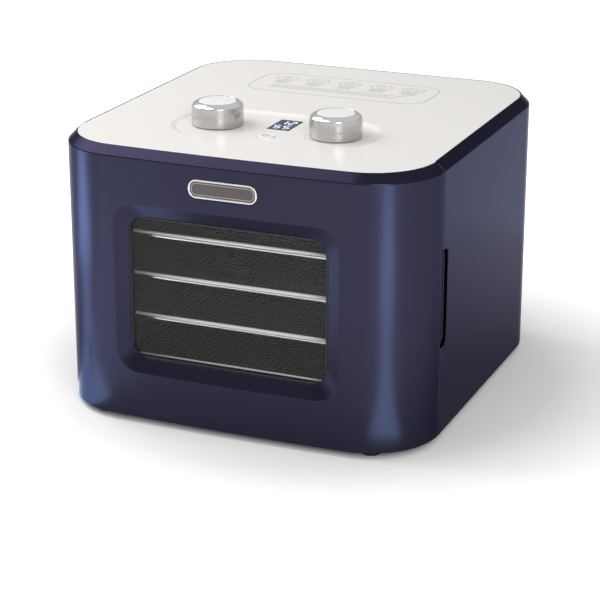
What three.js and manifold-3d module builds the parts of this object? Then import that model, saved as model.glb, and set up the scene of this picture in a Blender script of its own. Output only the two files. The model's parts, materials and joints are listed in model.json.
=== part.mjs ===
// Cabinet food dehydrator: a wrap-round glazed door, four wire trays, a rear fan and heater,
// and its controls on the top.
//
// Frame: the origin is on the table, under the middle of the cabinet. +Z is up and the door
// faces -Y. Lengths are in millimetres.

import * as THREE from "three";
import { mergeVertices } from "three/addons/utils/BufferGeometryUtils.js";
import Module from "manifold-3d";

const wasm = await Module();
wasm.setup();

// ------------------------------------------------------------------ driving dimensions

const GAP = 0.3; // left between neighbouring solids that touch on the real machine
const BEYOND = 20; // how far a cutting tool reaches past what it cuts
const OUTLINE_SEGMENTS = 6; // of each arc in the cabinet's plan

// Cabinet
const CABINET_WIDTH = 300;
const CABINET_DEPTH = 315;
const CABINET_TOP = 218; // the top panel's face above the table
const CORNER_RADIUS = 56; // of the cabinet's plan
const FRONT_BOW = 2; // how far the middle of the front stands proud of its corners
const SHELL_WALL = 3;
const EDGE_CHAMFER = 7;
const BASE_THICKNESS = 3;
const BASE_INSET = 5.6; // the base plate's edge behind the cabinet's outline
const LEDGE_WIDTH = 7; // the housing's inner ledge that the base plate is screwed to
const FOOT_HEIGHT = 5;
const FOOT_DIAMETER = 16;
const FOOT_STEM_RADIUS = 3;
const FOOT_FROM_EDGE = 14; // a foot's centre behind the corner's outline
const FOOT_ANGLE = 67 * (Math.PI / 180); // where it stands round the corner, from the side

// Door
const SEAM_FROM_FRONT = 57; // the seam between door and housing, behind the front
const SEAM_GAP = 1.2;
const PANEL_GAP = 1; // between the chamfered edge and the top panel
const HINGE_FROM_SIDE = 2.2; // the hinge's axis behind the side's face
const HINGE_AHEAD = 3; // and in front of the seam
const HINGE_PIN_RADIUS = 1;
const HINGE_PIN_REACH = 7; // of a pin past each end of its lug
const LUG_HEIGHT = 10;
const LUG_FROM_END = 22; // a lug's outer end from the housing's top or bottom edge
const NOTCH_DEPTH = 3.5; // of the door's notch for a lug, in front of the axis
const NOTCH_GAP = 0.5; // above and below a lug
const WINDOW_SIDE_MARGIN = 69.5; // from the cabinet's side to the opening
const WINDOW_TOP_MARGIN = 52.5; // from the top panel's face to the opening
const WINDOW_BOTTOM_MARGIN = 47.5; // from the housing's lower edge to the opening
const WINDOW_RADIUS = 7;
const BEVEL_WIDTH = 10.5; // of the sloping frame round the opening
const BEVEL_DEPTH = 4.1;
const LIP_THICKNESS = 1; // of the frame's inner edge, in front of the glass
const GLASS_THICKNESS = 2.5;
const GLASS_OVERLAP = 5; // of the glass behind the lip
const GASKET_WIDTH = 1.4;
const GASKET_THICKNESS = 0.6;
const LINER_THICKNESS = 2.2;
const BADGE_LENGTH = 55;
const BADGE_HEIGHT = 14.4;
const BADGE_BELOW_TOP = 24;
const BADGE_RIM = 1.6;
const MAGNET_SIZE = [12, 22]; // width and height
const MAGNET_FROM_SIDE = 46;
const MAGNET_BELOW_TOP = 23;

// Finger recess in the housing, beside the door's free edge
const RECESS_WIDTH = 12.9;
const RECESS_DEPTH = 10;
const RECESS_BOTTOM = 70; // above the housing's lower edge
const RECESS_HEIGHT = 76;
const RECESS_RADIUS = 8;
const CUP_WALL = 1.5;

// Drying chamber
const CHAMBER_SIDE_SPACE = 30; // from the cabinet's side to the chamber's wall
const CHAMBER_FRONT_SPACE = 19.5; // from the cabinet's front to the front frame
const CHAMBER_REAR_SPACE = 72.5; // from the cabinet's back to the rear baffle
const CHAMBER_FLOOR_Z = 30;
const CONTROL_BAY_HEIGHT = 38; // from the chamber's roof to the top panel's face
const CHAMBER_WALL = 2.5;
const FRAME_BORDER = 7; // of the front frame round the chamber's mouth
const TRAY_COUNT = 4;
const TRAY_ROD = 3;
const TRAY_BAR = 1.6;
const TRAY_BAR_SPACING = 30; // the most that two lengthwise bars may be apart
const TRAY_CROSS_BARS = 2;
const TRAY_SIDE_GAP = 2;
const TRAY_FRONT_GAP = 2.5; // from the front frame's face to the tray's front rail
const TRAY_REAR_GAP = 14;
const FIRST_TRAY_RISE = 17; // from the chamber's floor
const LAST_TRAY_DROP = 34; // from the chamber's roof
const TRAY_LEDGE = [7.5, 2.5];
const CRUMB_TRAY_HEIGHT = 5.5;
const CRUMB_TRAY_WALL = 1.5;

// Fan and heater
const IMPELLER_RADIUS = 52;
const IMPELLER_DEPTH = 20;
const BLADE_COUNT = 9;
const BLADE_THICKNESS = 2;
const HUB_RADIUS = 14;
const FAN_SHAFT_RADIUS = 3;
const SHAFT_CLEARANCE = 0.4;
const IMPELLER_FROM_BAFFLE = 5;
const FAN_MOUTH_GAP = 4; // round the impeller
const BAFFLE_REACH = 7; // above and below the chamber's walls
const RETURN_SLOT = [8, 100]; // width and height of the air's way past the fan
const RETURN_FROM_WALL = 12;
const GUARD_OVERLAP = 10; // of the guard round the fan's mouth
const GUARD_RING = 2.4;
const GUARD_SPACING = 25; // between its rings
const GUARD_MIDDLE = 15; // radius of the plate in its middle
const GUARD_THICKNESS = 2.4;
const COIL_FROM_IMPELLER = 12; // from the impeller's edge to the middle of the coil's tube
const COIL_TUBE = 4;
const COIL_FROM_BAFFLE = 9;
const HEATER_PLATE = [4, 10, 1.5]; // reach inside and outside the coil's middle, thickness
const HEATER_POST = [6, 8];
const MOTOR_RADIUS = 28;
const MOTOR_LENGTH = 22;
const MOTOR_BOSS_WALL = 5.1;
const SHAFT_IN_MOTOR = 8;
const BRACKET_FROM_COIL = 20;
const BRACKET_FROM_IMPELLER = 3.5;
const BRACKET_HEIGHT = 24;
const BRACKET_LEG = 6;
const BRACKET_THICKNESS = 2;
const CUTOUT_SIZE = [8, 8]; // radius and length of the thermal cutout
const CUTOUT_PLACE = [25, 62]; // from the chamber's wall, and above the fan's axis
const PROBE_SIZE = [2.5, 12];
const PROBE_PLACE = [20, 10]; // from the chamber's wall and roof

// Back cover and mains inlet
const COVER_MARGIN = 2; // from the flat part of the back to the cover's edge
const COVER_TOP_MARGIN = 20;
const COVER_BOTTOM_MARGIN = 17;
const COVER_RADIUS = 8;
const COVER_THICKNESS = 1.8;
const COVER_SUNK = 0.2; // behind the housing's back
const COVER_LEDGE = [10, 4.7]; // width and thickness of the ledge behind the cover
const SCREW_FROM_EDGE = 6;
const LOUVRE_COUNT = 9;
const LOUVRE_SIZE = [116, 4];
const LOUVRE_PITCH = 10;
const SCREW_HEAD_RADIUS = 3;
const SCREW_RADIUS = 1.4;
const SCREW_LENGTH = 8;
const INLET_SIZE = [26, 18]; // outside
const INLET_WALL = 3.5;
const INLET_DEPTH = 17;
const INLET_FROM_COVER_SIDE = 34;
const INLET_ABOVE_COVER_EDGE = 20;
const INLET_PIN_RADIUS = 1.2;
const INLET_PIN_SPACING = 8.6;

// Top panel and controls
const PANEL_THICKNESS = 3;
const CONTROLS_FROM_FRONT = 98.5; // the row of the knobs
const CONTROL_RECESS = [170, 92, 1.8]; // length, width, depth
const RECESS_SLOPE = 4;
const RECESS_FLOOR = 3.4; // the panel's thickness under the recess
const KNOB_SPACING = 98;
const KNOB_RADIUS = 20;
const KNOB_HEIGHT = 17; // above the panel's face
const KNOB_BEVEL = [4.2, 3]; // width and height
const KNOB_CAP_RADIUS = 14.6;
const KNOB_SKIRT = 3; // thickness
const KNOB_HUB_RADIUS = 7;
const KNOB_LIFT = 0.7; // over the recess's floor
const ENCODER_SHAFT_RADIUS = 3;
const ENCODER_BODY = [13, 6.5];
const DISPLAY_SIZE = [18, 30];
const DISPLAY_BEHIND_ROW = 17;
const BUTTON_RADIUS = 6.8;
const BUTTON_BEFORE_ROW = 20;
const BUTTON_PROUD = 1;
const BUTTON_TRAVEL = 1;
const BOARD_BELOW_TOP = 15.4; // the control board's upper face
const BOARD_THICKNESS = 1.6;
const CONTROL_BOARD_SIZE = [150, 76];
const BUSHING_RADIUS = 4.2;
const PANEL_POST_RADIUS = 4;
const SWITCH_SIZE = [6, 3]; // across, and height
const POWER_BOARD = [110, 65]; // from side to side, and from front to back
const POWER_BOARD_FROM_BAFFLE = 5;
const POWER_BOARD_OFF_CENTRE = 5;
const POWER_BOARD_RISE = 4; // above the chamber's roof
const TRANSFORMER_SIZE = [28, 28, 12];
const RELAY_SIZE = [18, 15, 10];

// ------------------------------------------------------------------ places worked out

const half = CABINET_WIDTH / 2;
const frontY = -CABINET_DEPTH / 2;
const backY = CABINET_DEPTH / 2;
const bottomZ = FOOT_HEIGHT;
const seamY = frontY + SEAM_FROM_FRONT;
const doorEdgeY = seamY - SEAM_GAP / 2;
const housingEdgeY = seamY + SEAM_GAP / 2;
const cornerX = half - CORNER_RADIUS;
const frontCornerY = frontY + CORNER_RADIUS + FRONT_BOW;
const backCornerY = backY - CORNER_RADIUS;
const hingeX = -half + HINGE_FROM_SIDE;
const hingeY = seamY - HINGE_AHEAD;
const windowX = half - WINDOW_SIDE_MARGIN;
const windowZ = [bottomZ + WINDOW_BOTTOM_MARGIN, CABINET_TOP - WINDOW_TOP_MARGIN];
const bevelBackY = frontY + FRONT_BOW + BEVEL_DEPTH;
const glassFrontY = bevelBackY + LIP_THICKNESS + GAP;
const glassBackY = glassFrontY + GLASS_THICKNESS;
const linerBackY = glassBackY + GAP + LINER_THICKNESS;
const frameFrontY = frontY + CHAMBER_FRONT_SPACE;
const frameBackY = frameFrontY + CHAMBER_WALL;
const chamberX = half - CHAMBER_SIDE_SPACE;
const chamberTopZ = CABINET_TOP - CONTROL_BAY_HEIGHT;
const baffleY = backY - CHAMBER_REAR_SPACE;
const trayX = chamberX - TRAY_SIDE_GAP;
const trayFrontY = frameFrontY + TRAY_FRONT_GAP;
const trayBackY = baffleY - TRAY_REAR_GAP;
const firstTrayZ = CHAMBER_FLOOR_Z + FIRST_TRAY_RISE;
const trayPitch = (chamberTopZ - LAST_TRAY_DROP - firstTrayZ) / (TRAY_COUNT - 1);
const fanZ = (CHAMBER_FLOOR_Z + chamberTopZ) / 2;
const bafflePlateBackY = baffleY + CHAMBER_WALL;
const impellerFrontY = bafflePlateBackY + IMPELLER_FROM_BAFFLE;
const impellerBackY = impellerFrontY + IMPELLER_DEPTH;
const fanMouthRadius = IMPELLER_RADIUS + FAN_MOUTH_GAP;
const guardRadius = fanMouthRadius + GUARD_OVERLAP;
const coilRadius = IMPELLER_RADIUS + COIL_FROM_IMPELLER;
const coilY = bafflePlateBackY + COIL_FROM_BAFFLE + COIL_TUBE;
const bracketY = impellerBackY + BRACKET_FROM_IMPELLER;
const coverX = cornerX - COVER_MARGIN;
const coverZ = [bottomZ + COVER_BOTTOM_MARGIN, CABINET_TOP - COVER_TOP_MARGIN];
const coverBackY = backY - COVER_SUNK;
const coverFrontY = coverBackY - COVER_THICKNESS;
const inletZ = coverZ[0] + INLET_ABOVE_COVER_EDGE;
const controlsY = frontY + CONTROLS_FROM_FRONT;
const inletX = coverX - INLET_FROM_COVER_SIDE;
const recessFloorZ = CABINET_TOP - CONTROL_RECESS[2];
const panelUnderZ = CABINET_TOP - PANEL_THICKNESS;
const padUnderZ = recessFloorZ - RECESS_FLOOR;
const boardTopZ = CABINET_TOP - BOARD_BELOW_TOP;
const displayY = controlsY + DISPLAY_BEHIND_ROW;
const buttonY = controlsY - BUTTON_BEFORE_ROW;

// ------------------------------------------------------------------ finishes

const NAVY = { color: 0x2c3260, roughness: 0.3, metalness: 0.45 };
const WHITE = { color: 0xf3efe9, roughness: 0.42, metalness: 0 };
const BLACK_PLASTIC = { color: 0x1c1c20, roughness: 0.55, metalness: 0 };
const GREY_PLASTIC = { color: 0x6d7076, roughness: 0.6, metalness: 0 };
const BLACK_RUBBER = { color: 0x121214, roughness: 0.85, metalness: 0 };
const SMOKED_GLASS = { color: 0x38323a, roughness: 0.05, metalness: 0, transparent: true, opacity: 0.4 };
const DARK_GLASS = { color: 0x0d1118, roughness: 0.08, metalness: 0 };
const CHROME = { color: 0xd9dadd, roughness: 0.12, metalness: 1 };
const SATIN_METAL = { color: 0xc4c4c6, roughness: 0.32, metalness: 1 };
const KNOB_DISC = { color: 0xd6d2cd, roughness: 0.45, metalness: 0.3 };
const BADGE_GREY = { color: 0x57504d, roughness: 0.35, metalness: 0.6 };
const STEEL = { color: 0x9fa3a8, roughness: 0.4, metalness: 1 };
const WIRE = { color: 0x8b8d91, roughness: 0.3, metalness: 1 };
const CIRCUIT = { color: 0x1f5a3a, roughness: 0.5, metalness: 0 };
const BRASS = { color: 0xb89a52, roughness: 0.35, metalness: 1 };
const MICA = { color: 0xb7a98a, roughness: 0.7, metalness: 0 };

// ------------------------------------------------------------------ joining and cutting

function solidOf(geometry) {
  const bare = geometry.clone();
  bare.deleteAttribute("normal");
  bare.deleteAttribute("uv");
  const merged = mergeVertices(bare, 1e-4);
  const corners = merged.index.array;
  const kept = [];
  for (let i = 0; i < corners.length; i += 3) {
    const [a, b, c] = [corners[i], corners[i + 1], corners[i + 2]];
    if (a !== b && b !== c && c !== a) kept.push(a, b, c);
  }
  const mesh = new wasm.Mesh({
    numProp: 3,
    vertProperties: new Float32Array(merged.attributes.position.array),
    triVerts: new Uint32Array(kept),
  });
  return new wasm.Manifold(mesh);
}

function geometryOf(solid) {
  const mesh = solid.getMesh();
  const geometry = new THREE.BufferGeometry();
  geometry.setAttribute("position", new THREE.BufferAttribute(mesh.vertProperties, 3));
  geometry.setIndex(new THREE.BufferAttribute(mesh.triVerts, 1));
  const flat = geometry.toNonIndexed();
  flat.computeVertexNormals();
  return flat;
}

function join(...pieces) {
  return geometryOf(pieces.map(solidOf).reduce((whole, next) => whole.add(next)));
}

function cut(piece, ...tools) {
  const cutters = tools.map(solidOf);
  return geometryOf(cutters.reduce((whole, tool) => whole.subtract(tool), solidOf(piece)));
}

function common(one, other) {
  return geometryOf(solidOf(one).intersect(solidOf(other)));
}

// ------------------------------------------------------------------ basic forms

const ALONG_X = new THREE.Matrix4().makeBasis(
  new THREE.Vector3(0, 1, 0), new THREE.Vector3(0, 0, 1), new THREE.Vector3(1, 0, 0),
);
const ALONG_Y = new THREE.Matrix4().makeBasis(
  new THREE.Vector3(-1, 0, 0), new THREE.Vector3(0, 0, 1), new THREE.Vector3(0, 1, 0),
);

function block([x0, x1], [y0, y1], [z0, z1]) {
  const geometry = new THREE.BoxGeometry(x1 - x0, y1 - y0, z1 - z0);
  return geometry.translate((x0 + x1) / 2, (y0 + y1) / 2, (z0 + z1) / 2);
}

function plate(shape, [z0, z1], segments = 6) {
  const options = { depth: z1 - z0, bevelEnabled: false, curveSegments: segments };
  return new THREE.ExtrudeGeometry(shape, options).translate(0, 0, z0);
}

// A plate that stands across Y. The shape's own axes are X and Z, and it is symmetric in X.
function uprightPlate(shape, [y0, y1], segments = 6) {
  return plate(shape, [0, y1 - y0], segments).applyMatrix4(ALONG_Y).translate(0, y0, 0);
}

// A plate that stands across X. The shape's own axes are Y and Z.
function sidePlate(shape, [x0, x1], segments = 6) {
  return plate(shape, [0, x1 - x0], segments).applyMatrix4(ALONG_X).translate(x0, 0, 0);
}

function upright(radius, [z0, z1], [x, y] = [0, 0], sides = 24, topRadius = radius) {
  const geometry = new THREE.CylinderGeometry(topRadius, radius, z1 - z0, sides);
  return geometry.rotateX(Math.PI / 2).translate(x, y, (z0 + z1) / 2);
}

function lengthwise(radius, [y0, y1], [x, z] = [0, fanZ], sides = 24, backRadius = radius) {
  const geometry = new THREE.CylinderGeometry(backRadius, radius, y1 - y0, sides);
  return geometry.translate(x, (y0 + y1) / 2, z);
}

// A profile of [radius, height] points turned about Z, listed from the bottom up on its outside.
function turned(profile, sides = 24) {
  const points = profile.map(([radius, height]) => new THREE.Vector2(radius, height));
  return new THREE.LatheGeometry(points, sides).rotateX(Math.PI / 2);
}

function roundedRect([x0, x1], [y0, y1], radius) {
  const shape = new THREE.Shape();
  shape.absarc(x1 - radius, y0 + radius, radius, -Math.PI / 2, 0, false);
  shape.absarc(x1 - radius, y1 - radius, radius, 0, Math.PI / 2, false);
  shape.absarc(x0 + radius, y1 - radius, radius, Math.PI / 2, Math.PI, false);
  shape.absarc(x0 + radius, y0 + radius, radius, Math.PI, Math.PI * 1.5, false);
  return shape;
}

// The cabinet's plan, moved inwards by an even distance. The front is a shallow arc that
// runs smoothly into both corners.
function cabinetOutline(inset) {
  const radius = CORNER_RADIUS - inset;
  const toCorners = (cornerX ** 2 + FRONT_BOW ** 2) / (2 * FRONT_BOW);
  const sweep = Math.asin(cornerX / toCorners);
  const bowY = frontCornerY + toCorners * Math.cos(sweep);
  const front = -Math.PI / 2;
  const shape = new THREE.Shape();
  shape.absarc(0, bowY, toCorners + radius, front - sweep, front + sweep, false);
  shape.absarc(cornerX, frontCornerY, radius, front + sweep, 0, false);
  shape.absarc(cornerX, backCornerY, radius, 0, Math.PI / 2, false);
  shape.absarc(-cornerX, backCornerY, radius, Math.PI / 2, Math.PI, false);
  shape.absarc(-cornerX, frontCornerY, radius, Math.PI, front - sweep + 2 * Math.PI, false);
  return shape;
}

// A prism on the cabinet's plan with a chamfer round its top edge.
function chamferedPrism(inset, topZ, chamfer) {
  const depth = topZ - bottomZ + BEYOND;
  const options = {
    depth,
    bevelEnabled: true,
    bevelSegments: 1,
    bevelSize: chamfer,
    bevelThickness: chamfer,
    curveSegments: OUTLINE_SEGMENTS,
  };
  const prism = new THREE.ExtrudeGeometry(cabinetOutline(inset + chamfer), options);
  return prism.translate(0, 0, topZ - chamfer - depth);
}

function everywhere(yRange, zRange) {
  return block([-half - BEYOND, half + BEYOND], yRange, zRange);
}

// ------------------------------------------------------------------ assembly helpers

const dehydrator = new THREE.Group();

function add(name, geometry, finish, parent = dehydrator) {
  const mesh = new THREE.Mesh(geometry, new THREE.MeshStandardMaterial(finish));
  mesh.name = name;
  parent.add(mesh);
  return mesh;
}

function group(x, y, z, parent = dehydrator) {
  const made = new THREE.Group();
  made.position.set(x, y, z);
  parent.add(made);
  return made;
}

// ------------------------------------------------------------------ outer shells

// The door and the housing are cut from one shell, so they meet in one surface.
function wholeShell() {
  const innerTop = CABINET_TOP - SHELL_WALL - 1;
  const innerChamfer = EDGE_CHAMFER - SHELL_WALL + 0.25;
  const outer = chamferedPrism(0, CABINET_TOP, EDGE_CHAMFER);
  const inner = chamferedPrism(SHELL_WALL, innerTop, innerChamfer);
  const mouthZ = [innerTop - BEYOND, CABINET_TOP + BEYOND];
  const mouth = plate(cabinetOutline(EDGE_CHAMFER), mouthZ, OUTLINE_SEGMENTS);
  const below = everywhere([frontY - BEYOND, backY + BEYOND], [bottomZ - 3 * BEYOND, bottomZ]);
  return cut(outer, inner, mouth, below);
}

const shell = wholeShell();

// Each lug is a [low z, high z] pair.
const lugs = [
  [bottomZ + LUG_FROM_END, bottomZ + LUG_FROM_END + LUG_HEIGHT],
  [CABINET_TOP - LUG_FROM_END - LUG_HEIGHT, CABINET_TOP - LUG_FROM_END],
];
const boreZ = [0, CABINET_TOP - EDGE_CHAMFER - SHELL_WALL];
const hingeBore = upright(HINGE_PIN_RADIUS + GAP, boreZ, [hingeX, hingeY], 12);

function hingeLug([z0, z1]) {
  const arm = block([-half, hingeX + HINGE_FROM_SIDE], [hingeY, housingEdgeY + 2], [z0, z1]);
  const nose = upright(HINGE_FROM_SIDE, [z0, z1], [hingeX, hingeY], 16);
  const slotAtPin = upright(HINGE_PIN_RADIUS + GAP, [z0 - 1, z1 + 1], [hingeX, hingeY], 12);
  return cut(join(arm, nose), slotAtPin);
}

const recessZ = [bottomZ + RECESS_BOTTOM, bottomZ + RECESS_BOTTOM + RECESS_HEIGHT];
const recessBackY = housingEdgeY + RECESS_WIDTH;
const recessX = half - SHELL_WALL - RECESS_DEPTH;

function fingerRecess() {
  const yRange = [housingEdgeY - BEYOND, recessBackY];
  return sidePlate(roundedRect(yRange, recessZ, RECESS_RADIUS), [recessX, half + BEYOND], 4);
}

// The moulded cup behind the recess, or with an extra, the room that it needs.
function fingerCup(extra = 0) {
  const wall = CUP_WALL + extra;
  const xRange = [recessX - wall, half - SHELL_WALL - GAP + extra];
  const yRange = [housingEdgeY - extra, recessBackY + wall];
  return block(xRange, yRange, [recessZ[0] - wall, recessZ[1] + wall]);
}

function baseLedge() {
  const z = [bottomZ + BASE_THICKNESS + GAP, bottomZ + BASE_THICKNESS + GAP + SHELL_WALL];
  const outer = plate(cabinetOutline(SHELL_WALL - 1), z, OUTLINE_SEGMENTS);
  const inner = plate(cabinetOutline(SHELL_WALL + LEDGE_WIDTH), [z[0] - 1, z[1] + 1], OUTLINE_SEGMENTS);
  const front = everywhere([frontY - BEYOND, housingEdgeY + CHAMBER_WALL], [z[0] - 1, z[1] + 1]);
  return cut(outer, inner, front);
}

const screwPlaces = [-1, 1].flatMap((side) => [
  [side * (coverX - SCREW_FROM_EDGE), coverZ[0] + SCREW_FROM_EDGE],
  [side * (coverX - SCREW_FROM_EDGE), coverZ[1] - SCREW_FROM_EDGE],
]);

function coverOpening() {
  const [width, thickness] = COVER_LEDGE;
  const rebateY = coverFrontY - GAP;
  const edge = (inset) => roundedRect(
    [-coverX + inset, coverX - inset], [coverZ[0] + inset, coverZ[1] - inset], COVER_RADIUS,
  );
  const backing = uprightPlate(edge(-4), [rebateY - thickness, backY - SHELL_WALL + 0.5], 3);
  const rebate = uprightPlate(edge(-GAP), [rebateY, backY + BEYOND], 3);
  const mouth = uprightPlate(edge(width), [rebateY - BEYOND, backY + BEYOND], 3);
  const bores = screwPlaces.map((place) => (
    lengthwise(SCREW_RADIUS + GAP, [rebateY - BEYOND, backY], place, 12)
  ));
  return { backing, cutters: [rebate, mouth, ...bores] };
}

function housingShell() {
  const rear = everywhere([housingEdgeY, backY + BEYOND], [0, CABINET_TOP + BEYOND]);
  const cover = coverOpening();
  const body = join(common(shell, rear), baseLedge(), cover.backing, ...lugs.map(hingeLug));
  return cut(body, fingerRecess(), ...cover.cutters);
}

add("housing_shell", housingShell(), NAVY);
const insideHousing = plate(
  cabinetOutline(SHELL_WALL + GAP), [bottomZ, CABINET_TOP - EDGE_CHAMFER], OUTLINE_SEGMENTS,
);
add("finger_cup", cut(common(fingerCup(), insideHousing), fingerRecess()), BLACK_PLASTIC);

lugs.forEach(([z0, z1], i) => {
  const pin = upright(HINGE_PIN_RADIUS, [z0 - HINGE_PIN_REACH, z1 + HINGE_PIN_REACH], [hingeX, hingeY], 12);
  add(i ? "hinge_pin_upper" : "hinge_pin_lower", pin, STEEL);
});

// ------------------------------------------------------------------ base and feet

const feet = [
  ["foot_front_left", -1, -1],
  ["foot_front_right", 1, -1],
  ["foot_rear_left", -1, 1],
  ["foot_rear_right", 1, 1],
].map(([name, sideX, sideY]) => {
  const reach = CORNER_RADIUS - FOOT_FROM_EDGE;
  const centreY = sideY < 0 ? frontCornerY : backCornerY;
  const x = sideX * (cornerX + reach * Math.cos(FOOT_ANGLE));
  return { name, place: [x, centreY + sideY * reach * Math.sin(FOOT_ANGLE)] };
});

function basePlate() {
  const sheet = plate(cabinetOutline(BASE_INSET), [bottomZ, bottomZ + BASE_THICKNESS], OUTLINE_SEGMENTS);
  const holes = feet.map(({ place }) => (
    upright(FOOT_STEM_RADIUS + GAP, [0, bottomZ + BEYOND], place, 12)
  ));
  return cut(sheet, ...holes);
}

add("base_plate", basePlate(), BLACK_PLASTIC);

for (const { name, place } of feet) {
  const pad = upright(FOOT_DIAMETER / 2 - 0.8, [0, FOOT_HEIGHT - GAP], [0, 0], 24, FOOT_DIAMETER / 2);
  const stem = upright(FOOT_STEM_RADIUS, [1, FOOT_HEIGHT + BASE_THICKNESS - 0.5], [0, 0], 12);
  add(name, join(pad, stem), BLACK_RUBBER, group(...place, 0));
}

// ------------------------------------------------------------------ back cover and inlet

function inletShape(grow) {
  const [width, height] = INLET_SIZE.map((size) => size / 2 + grow);
  return block(
    [inletX - width, inletX + width],
    [coverBackY - INLET_DEPTH, coverBackY],
    [inletZ - height, inletZ + height],
  );
}

function countersunkScrew([x, z], grow) {
  const headY = coverBackY - SCREW_HEAD_RADIUS + SCREW_RADIUS;
  const shank = lengthwise(SCREW_RADIUS + grow, [coverBackY - SCREW_LENGTH, coverBackY - 0.1], [x, z], 12);
  const head = lengthwise(SCREW_RADIUS + grow, [headY, coverBackY], [x, z], 12, SCREW_HEAD_RADIUS + grow);
  return join(shank, head);
}

function backCover() {
  const outline = roundedRect([-coverX, coverX], coverZ, COVER_RADIUS);
  const sheet = uprightPlate(outline, [coverFrontY, coverBackY], 3);
  const [louvreWidth, louvreHeight] = LOUVRE_SIZE;
  const louvres = Array.from({ length: LOUVRE_COUNT }, (_, i) => {
    const z = fanZ + (i - (LOUVRE_COUNT - 1) / 2) * LOUVRE_PITCH;
    return block(
      [-louvreWidth / 2, louvreWidth / 2],
      [coverFrontY - 1, coverBackY + 1],
      [z - louvreHeight / 2, z + louvreHeight / 2],
    );
  });
  const sinks = screwPlaces.map((place) => countersunkScrew(place, GAP).translate(0, 0.05, 0));
  const sinkMouths = screwPlaces.map((place) => (
    lengthwise(SCREW_HEAD_RADIUS + GAP, [coverBackY - 0.2, coverBackY + 1], place, 12)
  ));
  return cut(sheet, ...louvres, ...sinks, ...sinkMouths, inletShape(GAP).translate(0, 5, 0));
}

add("back_cover", backCover(), BLACK_PLASTIC);
screwPlaces.forEach((place, i) => {
  add(`cover_screw_${i + 1}`, countersunkScrew(place, 0).translate(0, -0.1, 0), STEEL);
});

const inletPins = [-1, 1].map((side) => inletX + (side * INLET_PIN_SPACING) / 2);
const inletFloorY = coverBackY - INLET_DEPTH + INLET_WALL;

function mainsInlet() {
  const [width, height] = INLET_SIZE.map((size) => size / 2 - INLET_WALL);
  const socket = block(
    [inletX - width, inletX + width],
    [inletFloorY, coverBackY + 1],
    [inletZ - height, inletZ + height],
  );
  const bores = inletPins.map((x) => (
    lengthwise(INLET_PIN_RADIUS + GAP, [coverBackY - BEYOND, coverBackY], [x, inletZ], 12)
  ));
  return cut(inletShape(0), socket, ...bores);
}

add("mains_inlet", mainsInlet(), BLACK_PLASTIC);
inletPins.forEach((x, i) => {
  const range = [coverBackY - INLET_DEPTH - 3, coverBackY - 4];
  const pin = lengthwise(INLET_PIN_RADIUS, range, [x, inletZ], 12);
  add(i ? "inlet_pin_right" : "inlet_pin_left", pin, BRASS);
});

// ------------------------------------------------------------------ door

const windowShape = (grow, radius = WINDOW_RADIUS + grow) => roundedRect(
  [-windowX - grow, windowX + grow], [windowZ[0] - grow, windowZ[1] + grow], radius,
);

// The sloping recess in front of the glass.
function windowBevel() {
  const options = {
    depth: BEYOND,
    bevelEnabled: true,
    bevelSegments: 1,
    bevelSize: BEVEL_WIDTH,
    bevelThickness: BEVEL_DEPTH,
    curveSegments: 4,
  };
  const tool = new THREE.ExtrudeGeometry(windowShape(0), options).applyMatrix4(ALONG_Y);
  return tool.translate(0, frontY + FRONT_BOW - BEYOND, 0);
}

const badgeZ = CABINET_TOP - BADGE_BELOW_TOP;
const badgeShape = (inset) => roundedRect(
  [-BADGE_LENGTH / 2 + inset, BADGE_LENGTH / 2 - inset],
  [badgeZ - BADGE_HEIGHT / 2 + inset, badgeZ + BADGE_HEIGHT / 2 - inset],
  BADGE_HEIGHT / 2 - inset - 0.01,
);

function doorShell() {
  const ahead = everywhere([frontY - BEYOND, doorEdgeY], [0, CABINET_TOP + BEYOND]);
  const surround = uprightPlate(
    windowShape(BEVEL_WIDTH + SHELL_WALL), [frontY + FRONT_BOW + 1, glassBackY], 4,
  );
  const bosses = lugs.flatMap(([z0, z1]) => [
    upright(HINGE_FROM_SIDE, [z0 - NOTCH_GAP - HINGE_PIN_REACH - 2, z0], [hingeX, hingeY], 16),
    upright(HINGE_FROM_SIDE, [z1, z1 + NOTCH_GAP + HINGE_PIN_REACH + 2], [hingeX, hingeY], 16),
  ]);
  const notches = lugs.map(([z0, z1]) => block(
    [-half - 1, hingeX + HINGE_FROM_SIDE + 1],
    [hingeY - NOTCH_DEPTH, doorEdgeY + 1],
    [z0 - NOTCH_GAP, z1 + NOTCH_GAP],
  ));
  const glassSeat = uprightPlate(
    windowShape(GLASS_OVERLAP + GAP), [glassFrontY - GAP, glassBackY + BEYOND], 4,
  );
  const mouth = uprightPlate(windowShape(0), [frontY - BEYOND, frontY + BEYOND], 4);
  const badgeSeat = uprightPlate(badgeShape(-GAP), [frontY - BEYOND, frontY + BADGE_RIM], 4);
  const body = join(common(shell, ahead), surround, ...bosses);
  return cut(body, windowBevel(), mouth, glassSeat, hingeBore, badgeSeat, ...notches);
}

const door = group(0, 0, 0);
add("door_shell", doorShell(), NAVY, door);
const pane = uprightPlate(windowShape(GLASS_OVERLAP), [glassFrontY, glassBackY], 4);
add("door_glass", pane, SMOKED_GLASS, door);

function glassGasket() {
  const yRange = [glassFrontY - GAP - GASKET_THICKNESS, glassFrontY - GAP];
  const ring = uprightPlate(windowShape(-GAP), yRange, 4);
  const mouth = windowShape(-GAP - GASKET_WIDTH);
  return cut(ring, uprightPlate(mouth, [yRange[0] - 1, yRange[1] + 1], 4));
}

add("glass_gasket", glassGasket(), BLACK_RUBBER, door);

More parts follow.
